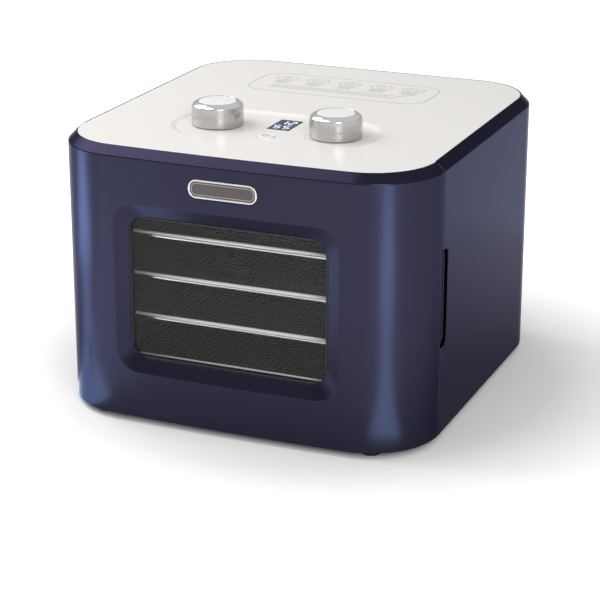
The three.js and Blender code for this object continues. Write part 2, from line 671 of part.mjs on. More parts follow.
function doorLiner() {
  const zRange = [bottomZ + BASE_THICKNESS + 3, CABINET_TOP - EDGE_CHAMFER - SHELL_WALL];
  const inside = plate(cabinetOutline(SHELL_WALL + 2 * GAP), zRange, OUTLINE_SEGMENTS);
  const slice = everywhere([glassBackY + GAP, linerBackY], [0, CABINET_TOP]);
  const mouth = uprightPlate(windowShape(-1), [frontY, linerBackY + 1], 4);
  return cut(common(inside, slice), mouth);
}

add("door_liner", doorLiner(), BLACK_PLASTIC, door);

const badgeBackY = frontY + BADGE_RIM - GAP;
function badgeRim() {
  const ring = uprightPlate(badgeShape(0), [frontY, badgeBackY], 4);
  return cut(ring, uprightPlate(badgeShape(BADGE_RIM), [frontY - 1, badgeBackY - 0.5], 4));
}

add("badge_rim", badgeRim(), CHROME, door);
const badgeFace = [frontY + 0.3, badgeBackY - 0.5 - GAP];
add("badge_plate", uprightPlate(badgeShape(BADGE_RIM + GAP), badgeFace, 4), BADGE_GREY, door);

const magnetX = half - MAGNET_FROM_SIDE;
const magnetZ = CABINET_TOP - MAGNET_BELOW_TOP;
const holderY = [linerBackY + GAP, frameFrontY - 1.2];
add("door_magnet", block(
  [magnetX - MAGNET_SIZE[0] / 2, magnetX + MAGNET_SIZE[0] / 2],
  holderY,
  [magnetZ - MAGNET_SIZE[1] / 2, magnetZ + MAGNET_SIZE[1] / 2],
), STEEL, door);
add("catch_plate", block(
  [magnetX - MAGNET_SIZE[0] / 2, magnetX + MAGNET_SIZE[0] / 2],
  [frameFrontY - GAP - 0.5, frameFrontY - GAP],
  [magnetZ - MAGNET_SIZE[1] / 2, magnetZ + MAGNET_SIZE[1] / 2],
), CHROME);

// ------------------------------------------------------------------ drying chamber

const frameX = chamberX + FRAME_BORDER;
const frameZ = [bottomZ + BASE_THICKNESS + SHELL_WALL + 1, CABINET_TOP - EDGE_CHAMFER - SHELL_WALL];
const flangeY = housingEdgeY + CHAMBER_WALL;

function frontFrame() {
  const [z0, z1] = frameZ;
  const inner = [z0 + CHAMBER_WALL, z1 - CHAMBER_WALL];
  const innerX = frameX - CHAMBER_WALL;
  const flangeX = half - Math.max(SHELL_WALL, 2 * HINGE_FROM_SIDE) - 2 * GAP;
  const hood = cut(
    block([-frameX, frameX], [frameFrontY, flangeY], frameZ),
    block([-innerX, innerX], [frameBackY, flangeY + 1], inner),
  );
  const flange = cut(
    block([-flangeX, flangeX], [flangeY - CHAMBER_WALL, flangeY], frameZ),
    block([-innerX, innerX], [flangeY - BEYOND, flangeY + 1], inner),
  );
  const mouthZ = [CHAMBER_FLOOR_Z, chamberTopZ];
  const mouth = block([-chamberX, chamberX], [frameFrontY - 1, frameBackY + 1], mouthZ);
  const insideShell = plate(cabinetOutline(SHELL_WALL + 2 * GAP), frameZ, OUTLINE_SEGMENTS);
  return cut(common(join(hood, flange), insideShell), mouth, fingerCup(GAP));
}

add("front_frame", frontFrame(), BLACK_PLASTIC);

const wallY = [frameBackY + GAP, baffleY - GAP];
const wallZ = [CHAMBER_FLOOR_Z - CHAMBER_WALL, chamberTopZ + CHAMBER_WALL];
const trayHeights = Array.from({ length: TRAY_COUNT }, (_, i) => firstTrayZ + i * trayPitch);

function chamberWall(side) {
  const sheet = block([chamberX, chamberX + CHAMBER_WALL], wallY, wallZ);
  const [ledgeWidth, ledgeThickness] = TRAY_LEDGE;
  const ledges = trayHeights.map((z) => {
    const top = z - TRAY_ROD / 2 - GAP;
    return block([chamberX - ledgeWidth, chamberX + 1], wallY, [top - ledgeThickness, top]);
  });
  const right = join(sheet, ...ledges);
  return side > 0 ? right : right.rotateZ(Math.PI).translate(0, wallY[0] + wallY[1], 0);
}

add("left_wall", chamberWall(-1), GREY_PLASTIC);
add("right_wall", chamberWall(1), GREY_PLASTIC);

const betweenWalls = [-chamberX + GAP, chamberX - GAP];
const roofZ = [chamberTopZ, chamberTopZ + CHAMBER_WALL];
const floorZ = [CHAMBER_FLOOR_Z - CHAMBER_WALL, CHAMBER_FLOOR_Z];
const guardY = [baffleY - GAP - GUARD_THICKNESS, baffleY - GAP];
const guardRoom = lengthwise(guardRadius + GAP, [guardY[0] - GAP, guardY[1] + 1]);
add("chamber_top", cut(block(betweenWalls, wallY, roofZ), guardRoom), GREY_PLASTIC);
add("chamber_floor", cut(block(betweenWalls, wallY, floorZ), guardRoom), GREY_PLASTIC);

const baffleX = frameX - CHAMBER_WALL;

function rearBaffle() {
  const zRange = [wallZ[0] - BAFFLE_REACH, wallZ[1] + BAFFLE_REACH];
  const through = [baffleY - 1, bafflePlateBackY + 1];
  const sheet = block([-baffleX, baffleX], [baffleY, bafflePlateBackY], zRange);
  const mouth = lengthwise(fanMouthRadius, through);
  const [slotWidth, slotHeight] = RETURN_SLOT.map((size) => size / 2);
  const returns = [-1, 1].map((side) => {
    const x = side * (chamberX - RETURN_FROM_WALL);
    return block([x - slotWidth, x + slotWidth], through, [fanZ - slotHeight, fanZ + slotHeight]);
  });
  return cut(sheet, mouth, ...returns);
}

add("rear_baffle", rearBaffle(), STEEL);

function wireTray() {
  const rim = TRAY_ROD / 2;
  const insideX = trayX - TRAY_ROD;
  const insideY = [trayFrontY + TRAY_ROD, trayBackY - TRAY_ROD];
  const frame = cut(
    block([-trayX, trayX], [trayFrontY, trayBackY], [-rim, rim]),
    block([-insideX, insideX], insideY, [-rim - 1, rim + 1]),
  );
  const width = 2 * trayX - TRAY_ROD;
  const depth = trayBackY - trayFrontY - TRAY_ROD;
  const across = Math.ceil(width / TRAY_BAR_SPACING);
  const along = TRAY_CROSS_BARS + 1;
  const bar = TRAY_BAR / 2;
  const bars = [];
  for (let i = 1; i < across; i++) {
    const x = (i / across - 0.5) * width;
    bars.push(block([x - bar, x + bar], [trayFrontY + 1, trayBackY - 1], [-bar, bar]));
  }
  for (let i = 1; i < along; i++) {
    const y = trayFrontY + TRAY_ROD / 2 + (i / along) * depth;
    bars.push(block([-trayX + 1, trayX - 1], [y - bar, y + bar], [-bar, bar]));
  }
  return join(frame, ...bars);
}

const trayForm = wireTray();
trayHeights.forEach((z, i) => {
  add(`tray_${i + 1}`, trayForm, WIRE, group(0, 0, z));
});

function crumbTray() {
  const z0 = CHAMBER_FLOOR_Z + GAP;
  const wall = CRUMB_TRAY_WALL;
  const outer = block([-trayX, trayX], [trayFrontY, trayBackY], [z0, z0 + CRUMB_TRAY_HEIGHT]);
  const inner = block(
    [-trayX + wall, trayX - wall], [trayFrontY + wall, trayBackY - wall], [z0 + wall, z0 + BEYOND],
  );
  return cut(outer, inner);
}

add("crumb_tray", crumbTray(), SATIN_METAL);

// ------------------------------------------------------------------ fan and heater

function fanGuard() {
  const through = [guardY[0] - 1, guardY[1] + 1];
  const ring = (outer, sides) => cut(
    lengthwise(outer, guardY, [0, fanZ], sides),
    lengthwise(outer - GUARD_RING, through, [0, fanZ], sides),
  );
  const radii = [guardRadius, guardRadius - GUARD_SPACING];
  const spokes = [0, 1, 2].map((i) => (
    block([-guardRadius + 1, guardRadius - 1], guardY, [-GUARD_RING / 2, GUARD_RING / 2])
      .rotateY((i * Math.PI) / 3)
      .translate(0, 0, fanZ)
  ));
  const middle = lengthwise(GUARD_MIDDLE, guardY, [0, fanZ], 20);
  return join(...radii.map((radius) => ring(radius, 20)), ...spokes, middle);
}

add("fan_guard", fanGuard(), WIRE);

function heaterFrame() {
  const [inside, outside, thickness] = HEATER_PLATE;
  const [postWidth, postHeight] = HEATER_POST.map((size) => size / 2);
  const y0 = bafflePlateBackY + GAP;
  const postY = [y0 + 0.5, coilY - COIL_TUBE - GAP];
  const sheet = cut(
    lengthwise(coilRadius + outside, [y0, y0 + thickness], [0, fanZ], 28),
    lengthwise(coilRadius - inside, [y0 - 1, y0 + thickness + 1], [0, fanZ], 28),
  );
  const posts = [0, 1, 2, 3].map((i) => (
    block([coilRadius - postWidth, coilRadius + postWidth], postY, [-postHeight, postHeight])
      .rotateY(((i + 0.5) * Math.PI) / 2)
      .translate(0, 0, fanZ)
  ));
  return join(sheet, ...posts);
}

add("heater_frame", heaterFrame(), MICA);
const coil = new THREE.TorusGeometry(coilRadius, COIL_TUBE, 6, 24).rotateX(Math.PI / 2);
add("heater_coil", coil, STEEL, group(0, coilY, fanZ));

function impeller() {
  const disc = lengthwise(IMPELLER_RADIUS, [impellerBackY - 2, impellerBackY]);
  const hub = lengthwise(HUB_RADIUS, [impellerFrontY, impellerBackY]);
  const blades = Array.from({ length: BLADE_COUNT }, (_, i) => (
    block(
      [HUB_RADIUS - 2, IMPELLER_RADIUS - 0.5],
      [impellerFrontY, impellerBackY - 1],
      [-BLADE_THICKNESS / 2, BLADE_THICKNESS / 2],
    )
      .rotateY((i * 2 * Math.PI) / BLADE_COUNT)
      .translate(0, 0, fanZ)
  ));
  const boreY = [impellerFrontY - 1, impellerBackY + 1];
  const bore = lengthwise(FAN_SHAFT_RADIUS + SHAFT_CLEARANCE, boreY, [0, fanZ], 16);
  return cut(join(disc, hub, ...blades), bore);
}

add("fan_impeller", impeller(), BLACK_PLASTIC);

const bossRadius = FAN_SHAFT_RADIUS + MOTOR_BOSS_WALL;
const motorFrontY = bracketY + BRACKET_THICKNESS + GAP;
const motorY = [motorFrontY, motorFrontY + MOTOR_LENGTH];
const shaftEndY = motorFrontY + SHAFT_IN_MOTOR;

function motor() {
  const body = lengthwise(MOTOR_RADIUS, motorY);
  const boss = lengthwise(bossRadius, [bracketY - 1, motorY[0] + 1], [0, fanZ], 16);
  const boreY = [bracketY - BEYOND, shaftEndY + 1];
  return cut(join(body, boss), lengthwise(FAN_SHAFT_RADIUS + SHAFT_CLEARANCE, boreY, [0, fanZ], 16));
}

add("fan_motor", motor(), SATIN_METAL);
const fanShaft = lengthwise(FAN_SHAFT_RADIUS, [impellerFrontY + 2, shaftEndY], [0, fanZ], 16);
add("fan_shaft", fanShaft, STEEL);

function motorBracket() {
  const y = [bracketY, bracketY + BRACKET_THICKNESS];
  const z = [fanZ - BRACKET_HEIGHT / 2, fanZ + BRACKET_HEIGHT / 2];
  const reach = coilRadius + BRACKET_FROM_COIL;
  const bar = block([-reach, reach], y, z);
  const legs = [-reach, reach - BRACKET_LEG].map((x) => (
    block([x, x + BRACKET_LEG], [bafflePlateBackY + GAP, bracketY + 1], z)
  ));
  const hole = lengthwise(bossRadius + GAP, [y[0] - 1, y[1] + 1], [0, fanZ], 16);
  return cut(join(bar, ...legs), hole);
}

add("motor_bracket", motorBracket(), STEEL);

const cutoutPlace = [chamberX - CUTOUT_PLACE[0], fanZ + CUTOUT_PLACE[1]];
const cutoutY = [bafflePlateBackY + GAP, bafflePlateBackY + GAP + CUTOUT_SIZE[1]];
add("thermal_cutout", lengthwise(CUTOUT_SIZE[0], cutoutY, cutoutPlace, 20), BLACK_PLASTIC);
const probePlace = [chamberX - PROBE_PLACE[0], chamberTopZ - PROBE_PLACE[1]];
const probeY = [baffleY - GAP - PROBE_SIZE[1], baffleY - GAP];
add("temperature_probe", lengthwise(PROBE_SIZE[0], probeY, probePlace, 16), STEEL);

// ------------------------------------------------------------------ top panel

function capsule([length, width], grow) {
  const x = length / 2 + grow;
  const y = width / 2 + grow;
  return roundedRect([-x, x], [controlsY - y, controlsY + y], y - 0.01);
}

const postPlaces = [-1, 1].flatMap((side) => [
  [side * (chamberX - 20), controlsY],
  [side * (chamberX - 20), baffleY - 25],
]);

function controlRecess() {
  const depth = CONTROL_RECESS[2];
  const options = {
    depth: BEYOND,
    bevelEnabled: true,
    bevelSegments: 1,
    bevelSize: RECESS_SLOPE,
    bevelThickness: depth,
    curveSegments: 6,
  };
  const tool = new THREE.ExtrudeGeometry(capsule(CONTROL_RECESS, -RECESS_SLOPE), options);
  return tool.translate(0, 0, CABINET_TOP);
}

const knobXs = [-KNOB_SPACING / 2, KNOB_SPACING / 2];
const [displayWidth, displayDepth] = DISPLAY_SIZE;

function displayBlock(grow, zRange) {
  return block(
    [-displayWidth / 2 - grow, displayWidth / 2 + grow],
    [displayY - displayDepth / 2 - grow, displayY + displayDepth / 2 + grow],
    zRange,
  );
}

function topPanel() {
  const outline = cabinetOutline(EDGE_CHAMFER + PANEL_GAP);
  const sheet = plate(outline, [panelUnderZ, CABINET_TOP], OUTLINE_SEGMENTS);
  const pad = plate(capsule(CONTROL_RECESS, 3), [padUnderZ, panelUnderZ + 0.5], 5);
  const posts = postPlaces.map((place) => (
    upright(PANEL_POST_RADIUS, [chamberTopZ + CHAMBER_WALL + GAP, panelUnderZ + 0.5], place, 16)
  ));
  const tall = [padUnderZ - 1, CABINET_TOP + 1];
  const bushings = knobXs.map((x) => upright(BUSHING_RADIUS + GAP, tall, [x, controlsY], 16));
  const buttonHole = upright(BUTTON_RADIUS + 0.4, tall, [0, buttonY]);
  const body = join(sheet, pad, ...posts);
  return cut(body, controlRecess(), displayBlock(GAP, tall), buttonHole, ...bushings);
}

add("top_panel", topPanel(), WHITE);

// ------------------------------------------------------------------ controls

const [boardWidth, boardDepth] = CONTROL_BOARD_SIZE;
add("control_board", block(
  [-boardWidth / 2, boardWidth / 2],
  [controlsY - boardDepth / 2, controlsY + boardDepth / 2],
  [boardTopZ - BOARD_THICKNESS, boardTopZ],
), CIRCUIT);

const [encoderSize, encoderHeight] = ENCODER_BODY;
const encoderZ = [boardTopZ + GAP, boardTopZ + GAP + encoderHeight];
const bushingTopZ = recessFloorZ;
const knobTopZ = CABINET_TOP + KNOB_HEIGHT;
const capSeatZ = knobTopZ - 1.5;
const shaftTopZ = capSeatZ - 3;

function encoderBody() {
  const side = encoderSize / 2;
  const body = block([-side, side], [-side, side], encoderZ);
  const bushing = upright(BUSHING_RADIUS, [encoderZ[1] - 1, bushingTopZ], [0, 0], 16);
  const bore = upright(ENCODER_SHAFT_RADIUS + GAP, [encoderZ[1] - 3, bushingTopZ + 1], [0, 0], 16);
  return cut(join(body, bushing), bore);
}

function encoderShaft() {
  const rod = upright(ENCODER_SHAFT_RADIUS, [encoderZ[1] - 3 + GAP, shaftTopZ], [0, 0], 16);
  const flat = block([1.8, 5], [-5, 5], [recessFloorZ + 3, shaftTopZ + 1]);
  return cut(rod, flat);
}

function knob() {
  const bottom = recessFloorZ + KNOB_LIFT;
  const skirt = KNOB_RADIUS - KNOB_SKIRT;
  const hub = KNOB_HUB_RADIUS;
  const bore = ENCODER_SHAFT_RADIUS + GAP;
  const [bevelWidth, bevelHeight] = KNOB_BEVEL;
  return turned([
    [0, shaftTopZ + GAP],
    [bore, shaftTopZ + GAP],
    [bore, bottom + 0.6],
    [hub, bottom + 0.6],
    [hub, bottom + 8],
    [skirt, bottom + 8],
    [skirt, bottom],
    [KNOB_RADIUS, bottom],
    [KNOB_RADIUS, knobTopZ - bevelHeight],
    [KNOB_RADIUS - bevelWidth, knobTopZ],
    [KNOB_CAP_RADIUS + GAP, knobTopZ],
    [KNOB_CAP_RADIUS + GAP, capSeatZ],
    [0, capSeatZ],
  ]);
}

["left", "right"].forEach((side, i) => {
  const place = group(knobXs[i], controlsY, 0);
  add(`encoder_${side}`, encoderBody(), GREY_PLASTIC, place);
  add(`encoder_shaft_${side}`, encoderShaft(), STEEL, place);
  add(`knob_${side}`, knob(), SATIN_METAL, place);
  const cap = upright(KNOB_CAP_RADIUS, [capSeatZ + GAP, knobTopZ - 0.3]);
  add(`knob_cap_${side}`, cap, KNOB_DISC, place);
});

add("display_module", displayBlock(-1, [boardTopZ + GAP, padUnderZ - GAP]), BLACK_PLASTIC);
add("display_window", displayBlock(0, [padUnderZ + 0.5, recessFloorZ]), DARK_GLASS);

const switchTopZ = boardTopZ + GAP + SWITCH_SIZE[1];
const stemBottomZ = switchTopZ + BUTTON_TRAVEL + GAP;

function powerButton() {
  const cap = upright(BUTTON_RADIUS, [padUnderZ - 1.8, recessFloorZ + BUTTON_PROUD]);
  const collar = upright(BUTTON_RADIUS + 1.6, [padUnderZ - 2.2, padUnderZ - 0.8]);
  const stem = upright(1.6, [stemBottomZ, padUnderZ - 1.5], [0, 0], 12);
  return join(cap, collar, stem);
}

add("power_button", powerButton(), WHITE, group(0, buttonY, 0));
const switchHalf = SWITCH_SIZE[0] / 2;
add("power_switch", block(
  [-switchHalf, switchHalf],
  [buttonY - switchHalf, buttonY + switchHalf],
  [boardTopZ + GAP, switchTopZ],
), BLACK_PLASTIC);

// The board is slung between the chamber's roof and the control board.
function powerBoard() {
  const z0 = chamberTopZ + CHAMBER_WALL + POWER_BOARD_RISE;
  const [width, depth] = POWER_BOARD.map((size) => size / 2);
  const x = -POWER_BOARD_OFF_CENTRE;
  const y = baffleY - POWER_BOARD_FROM_BAFFLE - depth;
  const sheet = block([x - width, x + width], [y - depth, y + depth], [z0, z0 + BOARD_THICKNESS]);
  const part = ([partWidth, partDepth, height], [dx, dy]) => block(
    [x + dx - partWidth / 2, x + dx + partWidth / 2],
    [y + dy - partDepth / 2, y + dy + partDepth / 2],
    [z0 + 1, z0 + BOARD_THICKNESS + height],
  );
  const spacers = [[-1, -1], [1, -1], [-1, 1], [1, 1]].map(([sideX, sideY]) => (
    upright(
      2.5, [chamberTopZ + CHAMBER_WALL + GAP, z0 + 0.5],
      [x + sideX * (width - 5), y + sideY * (depth - 5)], 12,
    )
  ));
  return join(sheet, part(TRANSFORMER_SIZE, [-31, 0]), part(RELAY_SIZE, [24, 0]), ...spacers);
}

add("power_board", powerBoard(), CIRCUIT);

export default dehydrator;
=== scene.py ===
# %% [markdown]
# # A cabinet food dehydrator
#
# The machine is a rounded box in navy lacquer with a white top. Its whole front, corners
# included, is a door. The CAD model is the frame: it gives every place and size, and it
# carries the parts that nobody looks at twice. This lesson remakes the surfaces that are
# seen, at the fineness a picture needs, and gives every part a finish.

# %% Load the frame
import json
import math

import bmesh
import bpy
from mathutils import Matrix, Vector

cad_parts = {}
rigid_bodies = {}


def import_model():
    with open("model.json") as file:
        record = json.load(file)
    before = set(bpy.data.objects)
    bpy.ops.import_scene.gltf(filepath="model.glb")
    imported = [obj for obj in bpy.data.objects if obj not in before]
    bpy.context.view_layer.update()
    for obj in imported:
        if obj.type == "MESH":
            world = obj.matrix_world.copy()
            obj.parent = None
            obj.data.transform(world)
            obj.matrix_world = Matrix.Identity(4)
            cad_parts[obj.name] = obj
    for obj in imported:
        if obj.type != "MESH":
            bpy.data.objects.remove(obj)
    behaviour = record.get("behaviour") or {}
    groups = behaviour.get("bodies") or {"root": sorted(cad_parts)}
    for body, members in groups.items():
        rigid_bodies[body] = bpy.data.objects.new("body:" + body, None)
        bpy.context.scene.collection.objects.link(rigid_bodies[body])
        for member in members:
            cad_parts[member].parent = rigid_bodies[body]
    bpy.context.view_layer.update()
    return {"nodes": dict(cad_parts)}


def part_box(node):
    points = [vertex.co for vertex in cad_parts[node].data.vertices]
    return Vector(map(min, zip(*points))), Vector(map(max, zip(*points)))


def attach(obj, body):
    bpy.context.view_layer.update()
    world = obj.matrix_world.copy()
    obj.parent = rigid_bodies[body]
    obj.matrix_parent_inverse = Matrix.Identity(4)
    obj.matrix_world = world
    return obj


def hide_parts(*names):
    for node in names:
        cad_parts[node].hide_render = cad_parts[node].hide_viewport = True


scene = bpy.context.scene
for leftover in list(bpy.data.objects):
    bpy.data.objects.remove(leftover)

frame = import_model()
nodes = frame["nodes"]

# %% [markdown]
# ## The camera first
#
# A product picture stands or falls with its viewpoint, so the camera comes before any
# modelling. It stands to the right of the front, a little above the top, with a long lens:
# the far side of the cabinet is then hardly smaller than the near side.

# %% Camera
camera_data = bpy.data.cameras.new("camera")
camera_data.sensor_width = 36.0
camera_data.lens = 119.2
camera_data.clip_end = 50.0
camera = bpy.data.objects.new("camera", camera_data)
camera.location = (0.58706, -1.40525, 0.60402)
camera.rotation_euler = (math.radians(70.324), 0.0, math.radians(22.853))
scene.collection.objects.link(camera)
scene.camera = camera
scene.view_settings.view_transform = "Standard"
print("camera at", tuple(round(c, 2) for c in camera.location))

# %% [markdown]
# ## A small studio
#
# The floor is a wide pale sheet under an even white sky, like a light tent. Satin lacquer
# shows its shape by what it mirrors. Seen from above, an upright wall mirrors the floor, so
# the panels that draw the upright bands of light down the rounded corners lie flat on the
# floor. The camera doesn't see them, only the lacquer does. Away from the machine the paper
# glows a little, which keeps it white there and leaves the soft shadow close by.

# %% Floor
FLOOR_SIZE = 40.0
GLOW_RING = (0.2, 0.44)
GLOW = (0.05, 0.7)


def node_material(name):
    """A new material, with its node tree and its shader."""
    material = bpy.data.materials.new(name)
    material.use_nodes = True
    return material, material.node_tree, material.node_tree.nodes["Principled BSDF"]


def link_range(tree, value, start, end, result):
    """Carries a value from one range over to another, on its way to a socket."""
    change = tree.nodes.new("ShaderNodeMapRange")
    change.inputs["From Min"].default_value, change.inputs["From Max"].default_value = start
    change.inputs["To Min"].default_value, change.inputs["To Max"].default_value = end
    tree.links.new(value, change.inputs["Value"])
    tree.links.new(change.outputs["Result"], result)


def add_floor():
    """A sheet of paper that glows more the farther it lies from the machine."""
    bm = bmesh.new()
    bmesh.ops.create_grid(bm, x_segments=1, y_segments=1, size=FLOOR_SIZE / 2)
    mesh = bpy.data.meshes.new("studio_floor")
    bm.to_mesh(mesh)
    bm.free()
    floor = bpy.data.objects.new("studio_floor", mesh)
    scene.collection.objects.link(floor)
    paper, tree, shader = node_material("studio paper")
    shader.inputs["Base Color"].default_value = (0.93, 0.925, 0.92, 1)
    shader.inputs["Roughness"].default_value = 0.9
    shader.inputs["Specular IOR Level"].default_value = 0.1
    shader.inputs["Emission Color"].default_value = (1, 1, 1, 1)
    position = tree.nodes.new("ShaderNodeTexCoord")
    distance = tree.nodes.new("ShaderNodeVectorMath")
    distance.operation = "LENGTH"
    tree.links.new(position.outputs["Object"], distance.inputs[0])
    link_range(tree, distance.outputs["Value"], GLOW_RING, GLOW, shader.inputs["Emission Strength"])
    mesh.materials.append(paper)


add_floor()
print("floor:", FLOOR_SIZE, "m wide")

# %% [markdown]
# ## Sky and lights
#
# The sky is a world shader whose strength falls towards the horizon, so polished metal has
# something darker to mirror. An area light is the softbox of Blender: a key light on the
# left, a fill light on the right and a weak one overhead model the white top. The panels on
# the floor are a little blue, because the flakes in the lacquer send back a bluer light.

# %% Sky and lights
SKY_HEIGHTS = (0.08, 0.6)
SKY_STRENGTHS = (0.4, 0.6)
PANEL_HEIGHT = 0.003
PANEL_COLOUR = (0.62, 0.95, 1.0)


def add_panel_light(name, position, aim, size, power):
    """A soft rectangular light that faces aim."""
    data = bpy.data.lights.new(name, "AREA")
    data.shape = "RECTANGLE"
    data.size, data.size_y = size
    data.energy = power
    light = bpy.data.objects.new(name, data)
    light.location = position
    light.rotation_euler = (Vector(aim) - Vector(position)).to_track_quat("-Z", "Y").to_euler()
    light.visible_camera = False
    scene.collection.objects.link(light)
    return light


def add_floor_panel(name, place_on_floor, size, turn, power):
    """A soft panel that lies on the floor and shines upwards, turned by some degrees."""
    start, aim = (*place_on_floor, PANEL_HEIGHT), (*place_on_floor, 1)
    light = add_panel_light(name, start, aim, size, power)
    light.rotation_euler = (math.pi, 0, math.radians(turn))
    light.data.color = PANEL_COLOUR


def add_sky():
    """An even white sky that darkens towards its horizon."""
    world = bpy.data.worlds.new("light tent")
    world.use_nodes = True
    tree = world.node_tree
    sky = tree.nodes["Background"]
    sky.inputs["Color"].default_value = (1, 1, 1, 1)
    direction = tree.nodes.new("ShaderNodeTexCoord")
    split = tree.nodes.new("ShaderNodeSeparateXYZ")
    tree.links.new(direction.outputs["Generated"], split.inputs[0])
    link_range(tree, split.outputs["Z"], SKY_HEIGHTS, SKY_STRENGTHS, sky.inputs["Strength"])
    scene.world = world


add_sky()
for name, spot, size, turn, power in (
    ("left panel near", (-0.30, -0.17), (0.35, 0.09), 187, 0.35),
    ("left panel far", (-0.78, -0.23), (0.6, 0.26), 187, 4.0),
    ("right panel near", (0.26, -0.28), (0.32, 0.06), -44, 0.18),
    ("right panel far", (0.56, -0.58), (0.6, 0.16), -44, 1.5),
    ("front panel", (-0.42, -0.56), (0.9, 0.16), 58, 0.4),
    ("rear panel", (0.36, 0.66), (0.36, 0.5), 0, 0.3),
):
    add_floor_panel(name, spot, size, turn, power)
add_panel_light("key panel", (-0.85, -0.02, 0.9), (0, 0, 0.2), (0.8, 0.8), 6.5)
add_panel_light("overhead panel", (-0.4, -0.44, 1.08), (0, -0.1, 0.2), (0.5, 0.5), 1.4)
add_panel_light("fill panel", (0.9, -1.3, 0.9), (0, -0.1, 0.1), (0.6, 0.6), 10)
print("lights:", len(bpy.data.lights))

# %% [markdown]
# ## Driving sizes
#
# Every place is worked out from the frame's boxes, and from a few sizes that a box doesn't
# show, such as a corner's radius. Lengths are in metres, so a millimetre has a name.

# %% Sizes
MM = 0.001
shell_low, shell_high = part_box("housing_shell")
door_low, door_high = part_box("door_shell")
glass_low, glass_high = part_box("door_glass")
gasket_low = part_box("glass_gasket")[0]

HALF = shell_high.x
FRONT = door_low.y
BACK = shell_high.y
TOP = shell_high.z
BOTTOM = shell_low.z
DOOR_EDGE = door_high.y
HOUSING_EDGE = DOOR_EDGE + 1.2 * MM
CORNER = 56 * MM
BOW = 2 * MM
WALL = 3 * MM
CHAMFER = 7 * MM
BEYOND = 20 * MM
CORNER_X = HALF - CORNER
FRONT_CORNER_Y = FRONT + CORNER + BOW
BACK_CORNER_Y = BACK - CORNER
BOW_TO_CORNERS = (CORNER_X**2 + BOW**2) / (2 * BOW)
BOW_ANGLE = math.asin(CORNER_X / BOW_TO_CORNERS)
BOW_Y = FRONT_CORNER_Y + BOW_TO_CORNERS * math.cos(BOW_ANGLE)
print("cabinet", [round(c / MM) for c in (2 * HALF, BACK - FRONT, TOP)], "mm")


def front_surface(x):
    """Where the bowed front lies, at a distance x from its middle."""
    return BOW_Y - math.sqrt((BOW_TO_CORNERS + CORNER) ** 2 - x * x)


def middle(node):
    low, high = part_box(node)
    return (low + high) / 2


def face_size(node, gap=0.0):
    """A node's width and height as seen from the front, with a gap round it, and its middle."""
    low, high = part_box(node)
    return high.x - low.x + 2 * gap, high.z - low.z + 2 * gap, (high.z + low.z) / 2


# %% [markdown]
# ## Helpers for forms
#
# Most pieces begin as an outline that is filled and pulled out into a prism. Holes are cut
# with a Boolean modifier, and a Bevel modifier then breaks every edge a little, because a
# moulded edge is never sharp, and that thin round is what catches the light. Weighted
# normals keep the large faces flat beside it. The modifiers are applied at once, so a piece
# is a plain mesh when it joins the frame.


# %% Object helpers
SOFT_EDGE = 0.6 * MM


def make_object(name, bm, *materials):
    """Ends a form: its faces are turned outwards, and it becomes an object."""
    bmesh.ops.recalc_face_normals(bm, faces=bm.faces[:])
    if bm.calc_volume(signed=True) < 0:
        bmesh.ops.reverse_faces(bm, faces=bm.faces[:])
    mesh = bpy.data.meshes.new(name)
    bm.to_mesh(mesh)
    bm.free()
    obj = bpy.data.objects.new(name, mesh)
    scene.collection.objects.link(obj)
    for material in materials:
        mesh.materials.append(material)
    return obj


def settle(obj):
    """Applies an object's modifiers into its mesh."""
    graph = bpy.context.evaluated_depsgraph_get()
    graph.update()
    done = bpy.data.meshes.new_from_object(obj.evaluated_get(graph), depsgraph=graph)
    obj.modifiers.clear()
    old = obj.data
    obj.data = done
    bpy.data.meshes.remove(old)
    done.name = obj.name
    return obj


def carve(obj, cutters, operation="DIFFERENCE"):
    """Cuts forms out of a piece, or joins them to it with UNION."""
    helpers = [make_object("cutter", form) for form in cutters]
    for helper in helpers:
        step = obj.modifiers.new("carve", "BOOLEAN")
        step.solver = "EXACT"
        step.operation = operation
        step.object = helper
    settle(obj)
    for helper in helpers:
        bpy.data.objects.remove(helper)
    return obj


def clean(obj, flat=0.3, doubles=0.02 * MM):
    """Merges the doubles that cutting leaves, and dissolves edges that don't turn."""
    bm = bmesh.new()
    bm.from_mesh(obj.data)
    bmesh.ops.remove_doubles(bm, verts=bm.verts[:], dist=doubles)
    bmesh.ops.dissolve_degenerate(bm, dist=doubles, edges=bm.edges[:])
    bmesh.ops.dissolve_limit(
        bm, angle_limit=math.radians(flat), verts=bm.verts[:], edges=bm.edges[:],
        use_dissolve_boundaries=False, delimit=set(),
    )
    bm.to_mesh(obj.data)
    bm.free()
    return obj


def soften(obj, width=SOFT_EDGE, angle=28, segments=3):
    """Rounds every edge that turns by more than angle degrees, and shades it smoothly."""
    obj.data.shade_smooth()
    round_edges = obj.modifiers.new("soften", "BEVEL")
    round_edges.width = width
    round_edges.segments = segments
    round_edges.limit_method = "ANGLE"
    round_edges.angle_limit = math.radians(angle)
    round_edges.use_clamp_overlap = False
    keep_flat = obj.modifiers.new("keep flat", "WEIGHTED_NORMAL")
    keep_flat.weight = 80
    return settle(obj)


def place(obj, body, slot, *replaced):
    """Gives a finished piece to its body, and hides the CAD parts that it stands for. The slot is
    not used.
    """
    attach(obj, body)
    if replaced:
        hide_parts(*replaced)
    return obj


print("edges are rounded by", SOFT_EDGE / MM, "mm, unless a piece asks for another size")

# %% [markdown]
# ## Helpers for outlines
#
# An outline is drawn as with a pen: a single vertex is spun round a centre for an arc, or
# pulled out to a point for a straight edge. The closed ring is then filled with one face,
# and that face is raised into a solid. Rods, blocks and turned pieces have helpers too.


